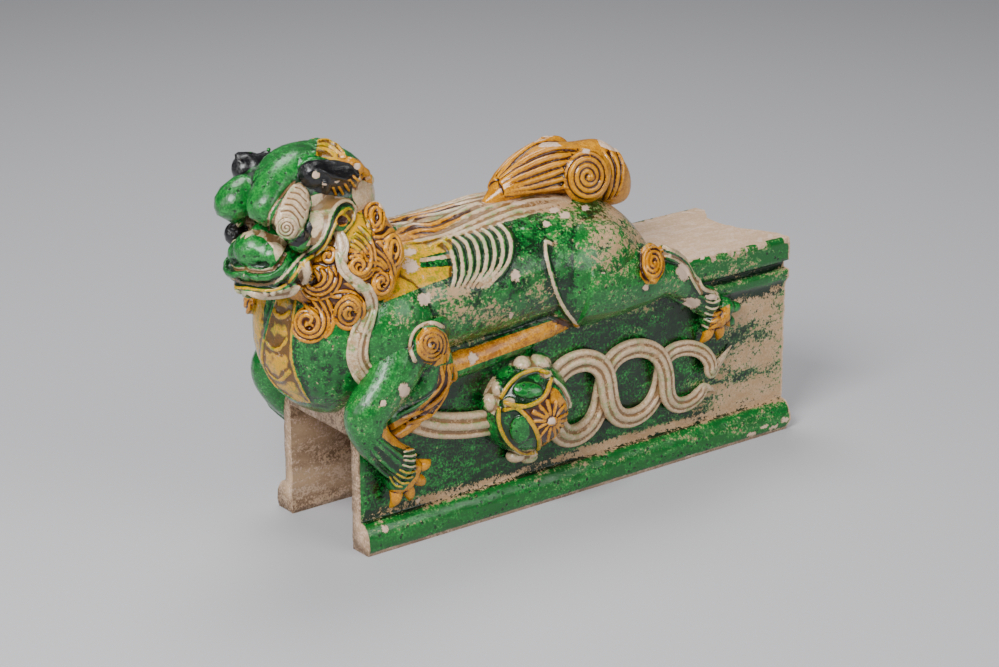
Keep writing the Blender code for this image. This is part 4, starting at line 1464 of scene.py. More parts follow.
@dataclass(frozen=True)
class Curl:
    """One spiral curl, as it is read off the photograph."""

    centre: Pixel
    radii: Pixel
    turns: float
    start: float
    hand: int
    rise: float = 0.0045

    def wind(self, clay: Clay) -> None:
        """Presses the low dome that the curl lies on and winds its cord.

        Args:
            clay: the clay that takes the curl.
        """
        clay.dome(self.centre, self.radii, self.rise)
        clay.press()
        pitch = min(self.radii) / self.turns * clay.scale_at(clay.cast(self.centre)[0])
        line = spiral(self.centre, self.radii, self.turns, self.start, self.hand)
        clay.cord(line, 0.46 * pitch, 0.35, ends=(0.6, 0.9))


@dataclass
class Mane(Piece):
    """The spiral locks round the neck and down the chest."""

    ground: tuple = ((-0.219, 0.0, 0.236), (0.055, 0.067, 0.058))
    name: str = "mane"
    on_trunk: bool = True
    voxel: float = 0.00066
    triangles: int = 152000
    finish: Finish = Finish("mane_glaze", mottle=1.3, wear=-0.30, bump=0.35, coat=0.3)
    locks: tuple = (
        ((376, 217), (9, 14), 0.005), ((394, 250), (8.5, 15), 0.005), ((360, 267), (12.5, 11.5), 0.006),
        ((382, 286), (12.5, 13.5), 0.006), ((350, 312), (14.5, 16), 0.007), ((309, 324), (16, 18), 0.007),
        ((318, 281), (18, 16), 0.004), ((329, 255), (5.5, 7.5), 0.004),
    )
    holes: tuple = (
        ((377, 217), (2.6, 4.4)), ((396, 249), (2.5, 4.4)), ((360, 268), (3.0, 2.8)), ((384, 286),
        (3.4, 3.0)), ((353, 314), (3.6, 3.4)), ((309, 328), (4.4, 2.8)), ((314, 281), (4.4, 4.4)),
    )
    strands: tuple = (
        ((303, 302), (308, 309), (314, 314), (318, 320), (317, 328), (311, 332), (304, 330), (300, 324),
        (302, 317), (308, 315), (312, 319), (309, 324)), ((311, 298), (317, 306), (322, 315), (323, 325),
        (319, 333), (311, 336.5), (302, 334), (297, 327), (296.5, 319), (301, 312), (308, 311)),
        ((318, 297), (324, 306), (328, 317), (327.5, 328), (321, 337), (311, 341), (301, 338.5),
        (294.5, 331), (293, 322)), ((326, 297), (331, 307), (333.5, 319), (331, 330), (325, 338)),
        ((330, 293), (342, 291), (353, 293), (361, 300), (363.5, 310), (361, 320), (355, 326.5),
        (347, 328.5), (339.5, 325), (336, 317), (337, 308), (341, 301.5), (348, 298)), ((350, 298),
        (356.5, 302), (359, 309), (357.5, 317), (352, 322.5), (345, 322), (340.5, 317), (341, 309),
        (346, 303.5), (352, 303.5), (355.5, 308), (354, 314)), ((352, 318), (346, 317), (345, 311),
        (349, 307.5), (352, 311)), ((331, 296), (340, 296.5), (347, 294.5)), ((377, 242), (386, 251),
        (392, 264), (395, 278), (393, 290), (386, 297), (378, 297), (371.5, 291), (370.5, 283)),
        ((375, 249), (384, 257), (389, 268), (391, 280), (388.5, 289), (382, 293.5), (376, 291),
        (373.5, 284), (375, 277), (380, 273.5), (385.5, 275.5), (387.5, 281), (385, 287)), ((373, 257),
        (381, 261), (387, 269)), ((372, 263), (379, 264), (385, 270)), ((371, 270), (377, 269),
        (383, 271.5)), ((382, 289), (378, 286), (378, 280), (382, 278), (384, 282)), ((359, 226),
        (368, 236), (373, 248), (374.5, 261), (371.5, 272), (365, 278), (356, 278), (349.5, 272),
        (348.5, 265)), ((355, 233), (364, 240), (370, 251), (370.5, 263), (366, 271), (359, 273.5),
        (353, 270), (352, 264), (356, 260), (362, 261), (364, 266), (360, 269.5)), ((353, 240), (361, 246),
        (367, 255)), ((349, 244), (357, 249), (365, 257)), ((346, 250), (355, 252), (363, 257)),
        ((348, 258), (355, 256.5), (363, 258)), ((338, 262), (341, 272), (339, 284), (331, 294),
        (319, 298.5), (308, 296), (301, 288)), ((333, 266), (336, 276), (332, 287), (322, 293.5),
        (311, 292), (304, 285)), ((328, 267), (331, 277), (326, 286), (317, 289), (309, 286), (306, 279)),
        ((321, 269), (325, 277), (321, 284), (314, 286)), ((314, 270), (319, 276), (317, 281)), ((369, 228),
        (367, 219), (367, 210), (371, 204.5), (377, 204), (382, 210), (383, 220), (380, 229), (374, 231)),
        ((374, 226), (371, 219), (371.5, 211), (376, 208), (379.5, 213), (379.5, 222), (376, 226)),
        ((387, 258), (386, 248), (388, 240), (393, 236), (398, 241), (400, 252), (397, 263), (391, 264)),
        ((391, 258), (390, 249), (392, 242), (396, 243), (397, 252), (395, 259)), ((376, 242), (384, 242),
        (391, 236), (396, 236)), ((374, 237), (383, 237), (390, 230), (396, 232)), ((383, 225),
        (389, 222.5), (394, 227), (398, 234)), ((384, 219), (391, 220), (396, 226)), ((325, 250),
        (331, 248.5), (334, 254), (331, 261), (325, 260), (325, 254), (329, 253)), ((364, 183), (373, 187),
        (380, 197), (385, 210)), ((361, 189), (370, 193), (377, 202), (382, 214)), ((364, 200), (371, 200),
        (377, 203)),
    )
    behind_jaw: Path = ((346, 214), (362, 212), (372, 226), (372, 240), (360, 252), (345, 246))
    nape: Path = ((356, 176), (372, 178), (390, 206), (384, 212), (378, 202), (366, 202), (356, 198))
    shade: Path = ((300, 262), (336, 260), (346, 280), (338, 296), (312, 298), (298, 284))

    def model(self, clay: Clay) -> None:
        """Presses the locks' domes and lays their strands.

        Args:
            clay: the clay that takes them.
        """
        clay.ball(*self.ground)
        clay.press()
        clay.domes(self.locks)
        clay.press()
        clay.lay(self.strands, 0.0019, 0.2, ends=(0.5, 0.5))

    def cut(self, skin: Skin) -> None:
        """Drills the middle of each lock."""
        for centre, radii in self.holes:
            skin.dent(centre, radii, 0.003)

    def paint(self, skin: Skin) -> None:
        """Glazes the locks amber, with yellow behind the jaw, cream on the nape and painted shade under the
        jaw.

        Args:
            skin: the mane's skin.
        """
        skin.add(Mask.AMBER, np.ones(len(skin.points)))
        behind_jaw = inside(skin.px, self.behind_jaw, 4.0)
        skin.clear(Mask.AMBER, behind_jaw * 0.9)
        skin.add(Mask.YELLOW, 0.8 * behind_jaw * skin.seen)
        nape = inside(skin.px, self.nape, 2.0)
        skin.add(Mask.CREAM, nape * skin.seen)
        skin.clear(Mask.AMBER, nape)
        # Painted shade on the locks under the jaw.
        skin.add(Mask.CAVITY, 0.16 * inside(skin.px, self.shade, 5.0) * skin.seen)


@dataclass
class Head(Piece):
    """The head, in its own frame: forward, to its outer side, up, from the pivot in the neck."""

    pivot: Place = (-0.225, 0.0, 0.25)
    turn: float = math.radians(14)
    tilt: float = math.radians(8)
    middle_forms: tuple = (
        ((-0.004, 0.0, 0.034), (0.046, 0.044, 0.045)), ((0.055, 0.0, -0.003), (0.035, 0.039, 0.0145)),
        ((0.056, 0.0, 0.018), (0.019, 0.016, 0.015)), ((0.075, 0.0, 0.014), (0.0165, 0.0165, 0.0148)),
        ((0.046, 0.0, -0.0165), (0.042, 0.033, 0.0105)),
    )
    forehead: tuple = (
        (0.054, 0.0, 0.045, 0.0175), (0.043, 0.0, 0.055, 0.02), (0.03, 0.0, 0.0625, 0.0215),
        (0.01, 0.0, 0.0632, 0.0215), (-0.014, 0.0, 0.059, 0.0205),
    )
    paired_forms: tuple = (
        ((0.073, 0.016, 0.009), (0.012, 0.011, 0.0108)), ((0.024, 0.032, 0.022), (0.034, 0.017, 0.022)),
        ((0.03, 0.02, 0.05), (0.032, 0.02, 0.022)),
    )
    eye: tuple = ((0.059, 0.0345, 0.0195), (0.0095, 0.0085, 0.01))
    ear_bulb: tuple = ((0.037, 0.036, 0.0675), (0.012, 0.0105, 0.0118))
    near_ridge: tuple = (
        (0.072, 0.017, 0.05, 0.015), (0.062, 0.0155, 0.058, 0.016), (0.05, 0.014, 0.0635, 0.0172),
        (0.036, 0.012, 0.0655, 0.0188), (0.02, 0.01, 0.065, 0.02),
    )
    brow_ridge: tuple = (
        (0.0745, 0.0172, 0.04, 0.0125), (0.073, 0.0175, 0.0485, 0.0158), (0.064, 0.018, 0.0545, 0.014),
        (0.054, 0.0185, 0.0575, 0.012),
    )
    ear: tuple = ((0.013, 0.0395, 0.0615), (0.03, 0.01, 0.0125))
    ear_slope: float = math.radians(12)
    scroll: tuple = (
        (0.0507, 0.0335, 0.0579, 0.0085), (0.0597, 0.036, 0.0484, 0.012), (0.0676, 0.0365, 0.0393, 0.0125),
        (0.073, 0.0355, 0.0319, 0.0105),
    )
    name: str = "head"
    near: int = 1
    voxel: float = 0.00068
    triangles: int = 160000
    finish: Finish = Finish("head_glaze", mottle=1.15, wear=-0.24, brightness=0.66, bump=0.8, coat=0.3)
    scroll_outline: Path = (
        (292, 184), (300, 182), (306, 187), (310, 194), (311, 204), (309, 216), (304, 229), (297, 238),
        (289, 240), (280, 236), (273, 229), (271, 221), (278, 206), (285, 195),
    )
    scroll_cuts: tuple = (
        ((296, 187), (301, 188), (306, 193)), ((291, 192), (299, 193.5), (307, 201)), ((288, 198),
        (297, 200), (306, 210)), ((285, 204), (294, 206), (304, 218)), ((281, 211), (290, 211), (298, 218),
        (301, 227)),
    )
    brow_line: Path = ((294, 182), (288, 188), (281, 197), (275, 205), (270, 213), (268.5, 222), (269, 230))
    lip_top: Path = (
        (246, 273), (254, 276), (263, 277), (272, 275), (280, 270), (285, 263), (289, 255), (296, 248),
        (303, 243), (309, 237), (314, 231),
    )
    lip_edge: Path = (
        (236, 279), (248, 283), (262, 284.5), (272, 283), (280, 279), (288, 271.5), (295, 263), (303, 255),
        (311, 249), (318, 244), (323, 237), (327, 228), (330, 218), (334, 209), (340, 203), (347, 201),
        (353, 204), (356, 211),
    )
    lip_low: Path = (
        (240, 286), (252, 289), (268, 290.5), (280, 288), (290, 280.5), (297, 271.5), (303, 263.5),
        (311, 257), (319, 251), (325, 245), (330, 236), (334, 227), (337, 219), (342, 212), (348, 208.5),
        (352, 211), (353, 217), (351, 224), (344, 232),
    )
    jaw_line: Path = ((244, 290), (256, 294.5), (270, 297), (283, 296), (293, 291.5), (300, 285))
    cheek: Path = (
        (311, 196), (322, 193), (340, 197), (352, 199), (345, 202), (336, 206), (330, 216), (327, 228),
        (322, 238), (314, 245), (306, 246), (312, 236), (308, 228), (310, 214), (312, 204),
    )
    ear_outline: Path = (
        (297, 176), (299, 167), (307, 161), (320, 159.5), (336, 160), (349, 163), (358, 169), (360, 175),
        (357, 183), (349, 191), (338, 194), (326, 195), (314, 191), (303, 185),
    )
    ear_fringe: tuple = (
        ((333, 188), (336, 195)), ((339, 187), (343, 194)), ((345, 184), (349, 191)), ((350, 180),
        (355, 187)), ((353, 176), (359, 181)),
    )
    scroll_domes: tuple = (((287, 229), (11, 10.5)), ((299, 234), (7, 8)))
    cheek_knob: Pixel = (325, 187)
    nostril_rim: Path = ((262, 245.5), (265, 243), (269, 243.5), (274, 247))
    ear_rim: Path = ((299, 168), (308, 161.5), (324, 160), (340, 161.5), (352, 165.5), (359, 173))
    ear_fold: Path = ((318, 169), (328, 174), (342, 178), (355, 179.5), (359, 175))
    crown_strands: Paths = (
        ((316, 141), (330, 142), (339, 149), (343, 157)), ((316, 145), (328, 146), (336, 152), (341, 158)),
        ((314, 149), (326, 150), (334, 155), (338, 160)), ((312, 153), (322, 154), (330, 158)),
    )
    crown_knobs: tuple = (
        ((343, 157), 4.0), ((350, 162), 4.2), ((357, 167), 5.2), ((364, 172), 4.4), ((368, 179), 4.0),
    )
    fang: Path = ((303, 262), (306, 270), (306.5, 277), (304, 284))
    upper_teeth: Paths = (((328, 244), (325, 249)), ((320, 252), (317, 257)))
    lower_teeth: Path = ((266, 293), (273, 292.5), (280, 290.5), (287, 288), (293.5, 284))
    hollows: tuple = (
        ((263.5, 265), (7, 4.2), 0.0045), ((257, 231), (4.5, 4), 0.004), ((335, 168), (11, 4.6), 0.0045),
        ((323.5, 188), (2.6, 2.6), 0.003),
    )
    muzzle_groove: Path = ((241, 266), (250, 270.5), (262, 271.5), (273, 269), (281, 262), (285, 254))
    mouth_hollow: Path = (
        (300, 283), (306, 270), (313, 261), (320, 256), (327, 249), (332, 240), (336, 230), (345, 235),
        (343, 250), (336, 268), (322, 280), (308, 290),
    )
    fang_gap: Path = ((298, 262), (310, 260), (312, 275), (309, 284), (302, 287), (298, 278))
    throat: Pixel = (342, 220)
    nape: Path = (
        (352, 172), (372, 172), (386, 200), (388, 236), (356, 236), (354, 214), (356, 204), (352, 198),
    )
    brow: Path = (
        (247, 231), (262, 230), (268, 233), (282, 237), (288, 244), (282, 254), (276, 262), (273, 248),
        (264, 238), (252, 234), (244, 240),
    )
    far_lip: Path = ((226, 263), (232, 271), (243, 275))
    lower_gum: Path = ((234, 290), (268, 293), (286, 289), (302, 282), (302, 296), (284, 306), (240, 306))
    fang_outline: Path = ((299, 262), (309, 261), (312, 274), (310, 283), (304, 287), (298, 278))
    upper_teeth_glaze: Paths = (((328, 244), (324, 250)), ((320, 252), (316, 258)))
    eye_outline: Path = (
        (310, 221), (313, 228), (308, 240), (298, 247), (287, 245), (295, 240), (303, 232), (308, 223),
    )
    crown: Path = ((318, 138), (334, 139), (345, 152), (345, 160), (330, 160), (316, 155))
    crest: Path = (
        (338, 148), (347, 156), (360, 160), (372, 174), (372, 184), (362, 180), (350, 166), (338, 160),
    )
    mouth: Path = (
        (296, 284), (304, 266), (314, 258), (327, 248), (335, 230), (346, 235), (343, 252), (330, 275),
        (308, 292),
    )
    mouth_corner: Path = ((337, 219), (341, 211), (348, 208), (352, 212), (350, 222), (344, 216))
    throat_glaze: Pixel = (342, 221)
    chips: tuple = (
        ((316, 175), (4.2, 4.0)), ((336.5, 182), (2.0, 1.4)), ((357, 166), (3.6, 3.4)), ((236, 191),
        (3.4, 3.6)), ((324.5, 184.5), (2.5, 1.2)),
    )

    def frame(self) -> Matrix:
        """From the head's own frame to the tile's."""
        forward = Vector((-math.cos(self.turn), -math.sin(self.turn), 0.0))
        level = Vector((math.sin(self.turn), -math.cos(self.turn), 0.0))
        up = Vector((0.0, 0.0, 1.0))
        side = level * math.cos(self.tilt) + up * math.sin(self.tilt)
        top = up * math.cos(self.tilt) - level * math.sin(self.tilt)
        return Matrix.Translation(self.pivot) @ Matrix((forward, side, top)).transposed().to_4x4()

    def model(self, clay: Clay) -> None:
        """Presses the head's forms together and lays the lips, brow, ear rims, teeth and crown strands.

        Args:
            clay: the clay that takes them.
        """
        for centre, radii in self.middle_forms:
            clay.ball(centre, radii)
        for centre, radii in (*self.paired_forms, self.eye, self.ear_bulb):
            clay.ball(centre, radii, Side.BOTH)
        clay.ball(*self.ear, Side.BOTH, Matrix.Rotation(-self.ear_slope, 4, "Y"))
        clay.limb(self.forehead, side=Side.MIDDLE)
        clay.limb(self.brow_ridge)
        clay.limb(self.near_ridge, side=Side.NEAR)
        clay.limb(self.scroll, (0.5, 1, 0), Side.NEAR, 0.5)
        flat = [(x - 0.008, y - 0.013, z, 0.8 * r) for x, y, z, r in self.scroll]
        clay.limb(flat, (0.5, 1, 0), Side.BOTH, 0.5)
        clay.press()
        for centre, radii in self.scroll_domes:
            clay.dome(centre, radii, 0.004, Side.NEAR)
        clay.dome(self.cheek_knob, (5.5, 5.5), 0.004)
        clay.press()
        for path, radius, lift in (
            (self.lip_top, 0.0030, 0.35), (self.lip_edge, 0.0019, 0.5), (self.lip_low, 0.0019, 0.4),
            (self.jaw_line, 0.0030, 0.1), (self.nostril_rim, 0.0013, 0.3), (self.ear_rim, 0.0019, 0.5),
            (self.ear_fold, 0.0017, 0.5),
        ):
            clay.cord(path, radius, lift)
        clay.lay(self.ear_fringe, 0.0015, 0.5)
        clay.lay(self.crown_strands, 0.0022, 0.2, ends=(0.3, 0.7))
        for centre, radius in self.crown_knobs:
            clay.dome(centre, (radius, radius), 0.0045)
        clay.cord(self.fang, 0.0042, 0.6, ends=(1.0, 0.12))
        for tooth, radius in zip(self.upper_teeth, (0.0022, 0.0020)):
            clay.cord(tooth, radius, 0.4, ends=(1, 1))
        for centre in self.lower_teeth:
            clay.dome(centre, (3.0, 2.8), 0.0030)

    def cut(self, skin: Skin) -> None:
        """Cuts the nostrils, the brow scroll, the ear's hollow and the mouth.

        Args:
            skin: the joined skin of the head.
        """
        for centre, radii, depth in self.hollows:
            skin.dent(centre, radii, depth)
        for line in self.scroll_cuts:
            skin.score(line, 1.6, 0.0017)
        skin.score(spiral((286.5, 228.5), (12, 12), 2.4, 250, -1), 1.5, 0.0012)
        skin.score(self.brow_line, 1.6, 0.0014)
        skin.score(self.muzzle_groove, 2.6, 0.0030)
        fang = 1 - inside(skin.px, self.fang_gap, 1.5)
        skin.push(-0.0045 * inside(skin.px, self.mouth_hollow, 2.5) * skin.seen * fang)
        skin.dent(self.throat, (5.5, 5), 0.0055)

    def paint(self, skin: Skin) -> None:
        """Glazes the head.

        Args:
            skin: the head's skin.
        """
        skin.zone(Mask.CREAM, self.scroll_outline, 1.2, 0.72)
        for mask, outline, soft in (
            (Mask.CREAM, self.cheek, 1.6), (Mask.CREAM, self.nape, 2.0), (Mask.CREAM, self.brow, 1.4),
            (Mask.CREAM, self.lower_gum, 1.5), (Mask.CREAM, self.fang_outline, 1.2),
            (Mask.BLACK, self.eye_outline, 0.8), (Mask.BLACK, self.ear_outline, 0.9),
        ):
            skin.zone(mask, outline, soft)
        for mask, line, width in (
            (Mask.CREAM, self.brow_line, 2.2), (Mask.CREAM, self.lip_edge, 2.6),
            (Mask.YELLOW, self.lip_low, 2.8), (Mask.CREAM, self.far_lip, 2.4),
            (Mask.CREAM, self.upper_teeth_glaze[0], 3.6),
            (Mask.CREAM, self.upper_teeth_glaze[1], 3.4),
        ):
            skin.stroke(mask, line, width)
        for centre, radii in (self.eye, self.ear_bulb, self.ear):
            skin.add(Mask.BLACK, skin.form(centre, radii, 1.3) * skin.far)
        for line in self.ear_fringe:
            skin.stroke(Mask.AMBER, line, 2.6)
            skin.wipe(Mask.BLACK, line, 2.6)
        skin.zone(Mask.YELLOW, self.crown, 2.0)
        skin.zone(Mask.AMBER, self.crest, 1.2)
        inner = inside(skin.px, self.mouth, 1.5) * skin.seen
        inner *= 1 - inside(skin.px, self.fang_outline, 1.0)
        groove = path_distance(skin.px, self.muzzle_groove)
        skin.add(Mask.CREAM, 0.7 * (1 - smooth_step(groove, 1.0, 3.4)) * skin.seen)
        skin.zone(Mask.YELLOW, self.mouth_corner, 1.0)
        throat = ellipse_mask(skin.px, self.throat_glaze, (6, 5.5)) * skin.seen
        # The mouth's inside and the throat's hollow get amber and painted shade.
        for part, amber in ((inner, 0.9), (throat, 1.0)):
            skin.add(Mask.AMBER, part * amber)
            skin.add(Mask.CAVITY, part * 0.6)
        for centre, radii in self.chips:
            skin.clear(Mask.BLACK, ellipse_mask(skin.px, centre, radii))
        skin.spots(Mask.CHIP, self.chips)


@dataclass
class Tail(Piece):
    """The tail laid on the rump: ridges gathered at the tip and a spiral at its root."""

    stations: tuple = (
        (-0.063, 0.251, 0.003, 0.003), (-0.045, 0.259, 0.012, 0.011), (-0.024, 0.266, 0.018, 0.017),
        (0.002, 0.268, 0.023, 0.022), (0.034, 0.26, 0.026, 0.026), (0.061, 0.254, 0.024, 0.029),
        (0.08, 0.245, 0.017, 0.021), (0.088, 0.24, 0.008, 0.01),
    )
    name: str = "tail"
    holds_edges: bool = False
    triangles: int = 70000
    finish: Finish = Finish("tail_glaze", mottle=1.2, wear=-0.28, bump=0.4, coat=0.3)
    ridges: tuple = (
        ((500, 180), (520, 164), (540, 153), (560, 148), (576, 149)), ((500, 183.5), (521, 170.5),
        (545, 159.5), (570, 155)), ((502, 186.5), (525, 176), (548, 167), (567, 162)), ((503, 189),
        (530, 181), (563, 170)), ((504, 191.5), (531, 186), (564, 178)), ((504, 194), (535, 189.5),
        (566, 186)),
    )
    rear_ridges: tuple = (
        ((604, 152), (611, 168), (610, 186), (604, 201)), ((609, 149), (617, 166), (616, 184), (610, 199)),
        ((614, 147), (622, 164), (621, 182), (616, 196)),
    )
    curl: Curl = Curl((587, 176), (24, 27), 3.6, 225, 1, 0.008)
    core: Pixel = (590, 177)
    breaks: Paths = (
        ((534, 139), (552, 139), (562, 146), (548, 147), (537, 147)), ((596, 135), (616, 135), (624, 146),
        (622, 153), (610, 150), (600, 146)),
    )
    chips: tuple = (((586, 151), (3.6, 2.6)), ((597, 203), (5, 1.6)))

    def model(self, clay: Clay) -> None:
        """Winds the root's spiral and lays the ridges.

        Args:
            clay: the clay that takes them.
        """
        clay.loft(self.stations, 40, 36)
        clay.press()
        self.curl.wind(clay)
        clay.lay(self.ridges, 0.0028, 0.2, ends=(0.7, 0.7))
        clay.lay(self.rear_ridges, 0.0022, 0.15)
        clay.dome(self.core, (4.2, 4.6), 0.004)

    def paint(self, skin: Skin) -> None:
        """Glazes the tail amber, bare where it is broken."""
        skin.add(Mask.AMBER, np.ones(len(skin.points)))
        for outline, soft in zip(self.breaks, (1.4, 1.6)):
            skin.zone(Mask.BARE, outline, soft)
        skin.spots(Mask.CHIP, self.chips)


@dataclass
class Paw:
    """A paw flat against the wall: a fan of toes, each with a hooked claw."""

    centre: Place
    heading: float
    toes: int = 4
    radius: float = 0.0095
    spread: float = math.radians(100)
    claw: float = 0.018

    def press(self, clay: Clay) -> None:
        """Adds the paw to the clay.

        Args:
            clay: the clay of the leg.
        """
        x, y, z = self.centre
        for k in range(self.toes):
            angle = self.heading + self.spread * (k / (self.toes - 1) - 0.5)
            way = (math.cos(angle), math.sin(angle))
            toe = (self.radius, self.radius * 1.2, self.radius)
            clay.ball((x + 0.010 * way[0], y, z + 0.010 * way[1]), toe, Side.BOTH)
            joints = (
                (0.015, 0, 0.0060), (0.015 + 0.5 * self.claw, 0.002, 0.0048),
                (0.015 + self.claw, -0.003, 0.0014),
            )
            claw = [(x + reach * way[0], y + rise, z + reach * way[1], r) for reach, rise, r in joints]
            clay.limb(claw, steps=14)


@dataclass
class Leg(WallPiece):
    """One pair of legs along the walls, with its curl, fringe and paw."""

    voxel: float = 0.00078
    triangles: int = 85000
    on_trunk: bool = True
    paw: Paw | None = None
    curl: Curl | None = None
    limbs: tuple = ()
    fringe_lines: tuple = ()
    toe_arcs: tuple = ()
    folds: tuple = ()
    amber: tuple = ()
    claws: tuple = ()
    rims: tuple = ()
    chips: tuple = ()
    wear: tuple = ()

    def model(self, clay: Clay) -> None:
        """Presses the leg, fringe and paw together, winds the curl and lays the lines.

        Args:
            clay: the clay that takes them.
        """
        for stations in self.limbs:
            clay.limb(stations)
        self.paw.press(clay)
        clay.press()
        self.curl.wind(clay)
        clay.lay(self.fringe_lines, 0.0021, 0.2)
        clay.lay(self.toe_arcs + self.rims[:1], 0.0016, 0.1)
        clay.lay(self.folds, 0.0018, 0.0, ends=(0.3, 0.3))

    def paint(self, skin: Skin) -> None:
        """Glazes the legs.

        Args:
            skin: the legs' skin.
        """
        for outline in self.amber:
            skin.zone(Mask.AMBER, outline, 1.4)
        for outline in self.claws:
            skin.zone(Mask.AMBER, outline, 1.2)
        for line in self.rims:
            skin.wipe(Mask.AMBER, line, 3.8)
            skin.stroke(Mask.CREAM, line, 4.0)
        for line in self.toe_arcs:
            skin.stroke(Mask.YELLOW if line[0][1] > 465 else Mask.CREAM, line, 1.8)
        skin.rub(self.wear)
        skin.spots(Mask.CHIP, self.chips)


def front_legs() -> Leg:
    """The forelegs: bent at the elbow, the paw hung down on the wall."""
    return Leg(
        name="front_legs",
        limbs=(
            ((-0.19, 0.048, 0.18, 0.03), (-0.198, 0.06, 0.16, 0.025), (-0.214, 0.066, 0.142, 0.02),
            (-0.231, 0.068, 0.124, 0.018), (-0.224, 0.066, 0.102, 0.0155), (-0.208, 0.065, 0.084, 0.0145),
            (-0.196, 0.064, 0.073, 0.016)), ((-0.16, 0.064, 0.168, 0.01), (-0.15, 0.06, 0.146, 0.009),
            (-0.158, 0.058, 0.122, 0.008), (-0.18, 0.06, 0.104, 0.006), (-0.204, 0.064, 0.097, 0.004)),
            ((-0.166, 0.056, 0.16, 0.02), (-0.166, 0.057, 0.143, 0.017), (-0.176, 0.058, 0.13, 0.015),
            (-0.192, 0.06, 0.119, 0.012), (-0.208, 0.062, 0.113, 0.01)),
        ),
        paw=Paw((-0.197, 0.064, 0.068), math.radians(-52)),
        curl=Curl((431, 344), (19, 21), 4.0, 10, -1, 0.006),
        finish=Finish("front_leg_glaze", mottle=1.1, wear=-0.10, bump=0.6),
        fringe_lines=(
            ((454, 364), (455, 378), (450, 394), (441, 407), (426, 417), (406, 424)), ((448, 366),
            (449, 378), (444, 391), (435, 402), (420, 411), (402, 419)), ((441, 366), (442, 378),
            (437, 389), (428, 398), (414, 407), (398, 415)),
        ),
        toe_arcs=(
            ((404, 452), (411, 450), (418, 448)), ((404, 456), (412, 456), (419, 453)), ((404, 460),
            (412, 461), (419, 459)), ((403, 465), (411, 467), (418, 465)), ((400, 470), (408, 473),
            (416, 471)), ((397, 474), (405, 478), (413, 477)), ((394, 477), (401, 483), (409, 483)),
            ((390, 477), (395, 485), (402, 487)),
        ),
        folds=(
            ((375, 441), (387, 452), (402, 466)), ((379, 440), (392, 450), (404, 459)), ((371, 448),
            (382, 461), (397, 474)), ((366, 455), (378, 468), (391, 479)),
        ),
        amber=(
            ((417, 352), (416, 338), (423, 328), (436, 327), (446, 334), (451, 348), (448, 362), (436, 366),
            (424, 363)), ((458, 362), (460, 382), (457, 400), (446, 417), (428, 429), (406, 440),
            (388, 437), (386, 427), (412, 412), (428, 400), (437, 388), (440, 366)), ((384, 428),
            (396, 434), (412, 441), (420, 447), (408, 451), (392, 445), (382, 437)),
        ),
        claws=(
            ((416, 446), (432, 444), (434, 478), (424, 496), (412, 512), (386, 508), (388, 490), (404, 490),
            (416, 476)),
        ),
        rims=(((415, 361), (410.5, 350), (411, 338), (416, 329), (424, 324), (434, 323), (443, 327)),),
        chips=(((404, 390), (6, 7)), ((383, 403), (3.4, 3.4)), ((430, 345), (2, 2))),
        wear=(((400, 405), (50, 9), 0.35), ((360, 420), (8, 18), 0.25), ((385, 455), (12, 12), 0.28)),
    )


def hind_legs() -> Leg:
    """The hind legs: stretched back along the walls."""
    return Leg(
        name="hind_legs",
        limbs=(
            ((-0.01, 0.044, 0.186, 0.04), (0.03, 0.048, 0.181, 0.036), (0.058, 0.055, 0.178, 0.028),
            (0.08, 0.059, 0.174, 0.02), (0.102, 0.06, 0.161, 0.014), (0.12, 0.06, 0.147, 0.012),
            (0.134, 0.06, 0.137, 0.013)), ((0.074, 0.068, 0.197, 0.008), (0.09, 0.063, 0.188, 0.007),
            (0.104, 0.061, 0.173, 0.006), (0.114, 0.06, 0.157, 0.005), (0.136, 0.062, 0.149, 0.004)),
        ),
        paw=Paw((0.139, 0.061, 0.133), math.radians(-60)),
        curl=Curl((653, 263), (12.5, 20), 3.0, -40, -1, 0.005),
        finish=Finish("hind_leg_glaze", mottle=1.1, wear=-0.02, bump=0.6, coat=0.225),
        fringe_lines=(
            ((666, 250), (680, 256), (690, 264), (697, 276), (702, 288), (714, 294)), ((664, 256),
            (677, 262), (686, 270), (692, 282), (700, 294)),
        ),
        toe_arcs=(
            ((706, 301), (713, 303), (720, 300)), ((706, 307), (713, 309), (721, 306)), ((705, 313),
            (713, 315), (721, 312)), ((704, 319), (712, 322), (719, 318)), ((702, 325), (710, 328),
            (717, 325)),
        ),
        folds=(
            ((668, 303), (681, 309), (693, 321)), ((672, 298), (686, 304), (698, 314)), ((700, 296),
            (708, 299), (716, 296)),
        ),
        amber=(
            ((640, 276), (640, 250), (648, 243), (660, 244), (666, 256), (664, 272), (656, 284),
            (646, 284)),
        ),
        claws=(((714, 312), (730, 304), (730, 330), (716, 352), (694, 354), (696, 334), (708, 330)),),
        rims=(
            ((664, 247), (677, 252), (690, 262), (697, 276), (703, 288), (717, 293)), ((664, 254),
            (677, 259), (687, 268), (694, 281), (701, 293)),
        ),
        chips=(((683, 272), (6.5, 8.5)), ((692, 303), (9, 5.5)), ((712, 297), (7, 3)), ((646, 288), (3, 3))),
        wear=(
            ((640, 230), (24, 24), 0.6), ((615, 250), (20, 34), 0.5), ((625, 296), (20, 8), 0.35),
            ((690, 300), (20, 16), 0.3),
        ),
    )


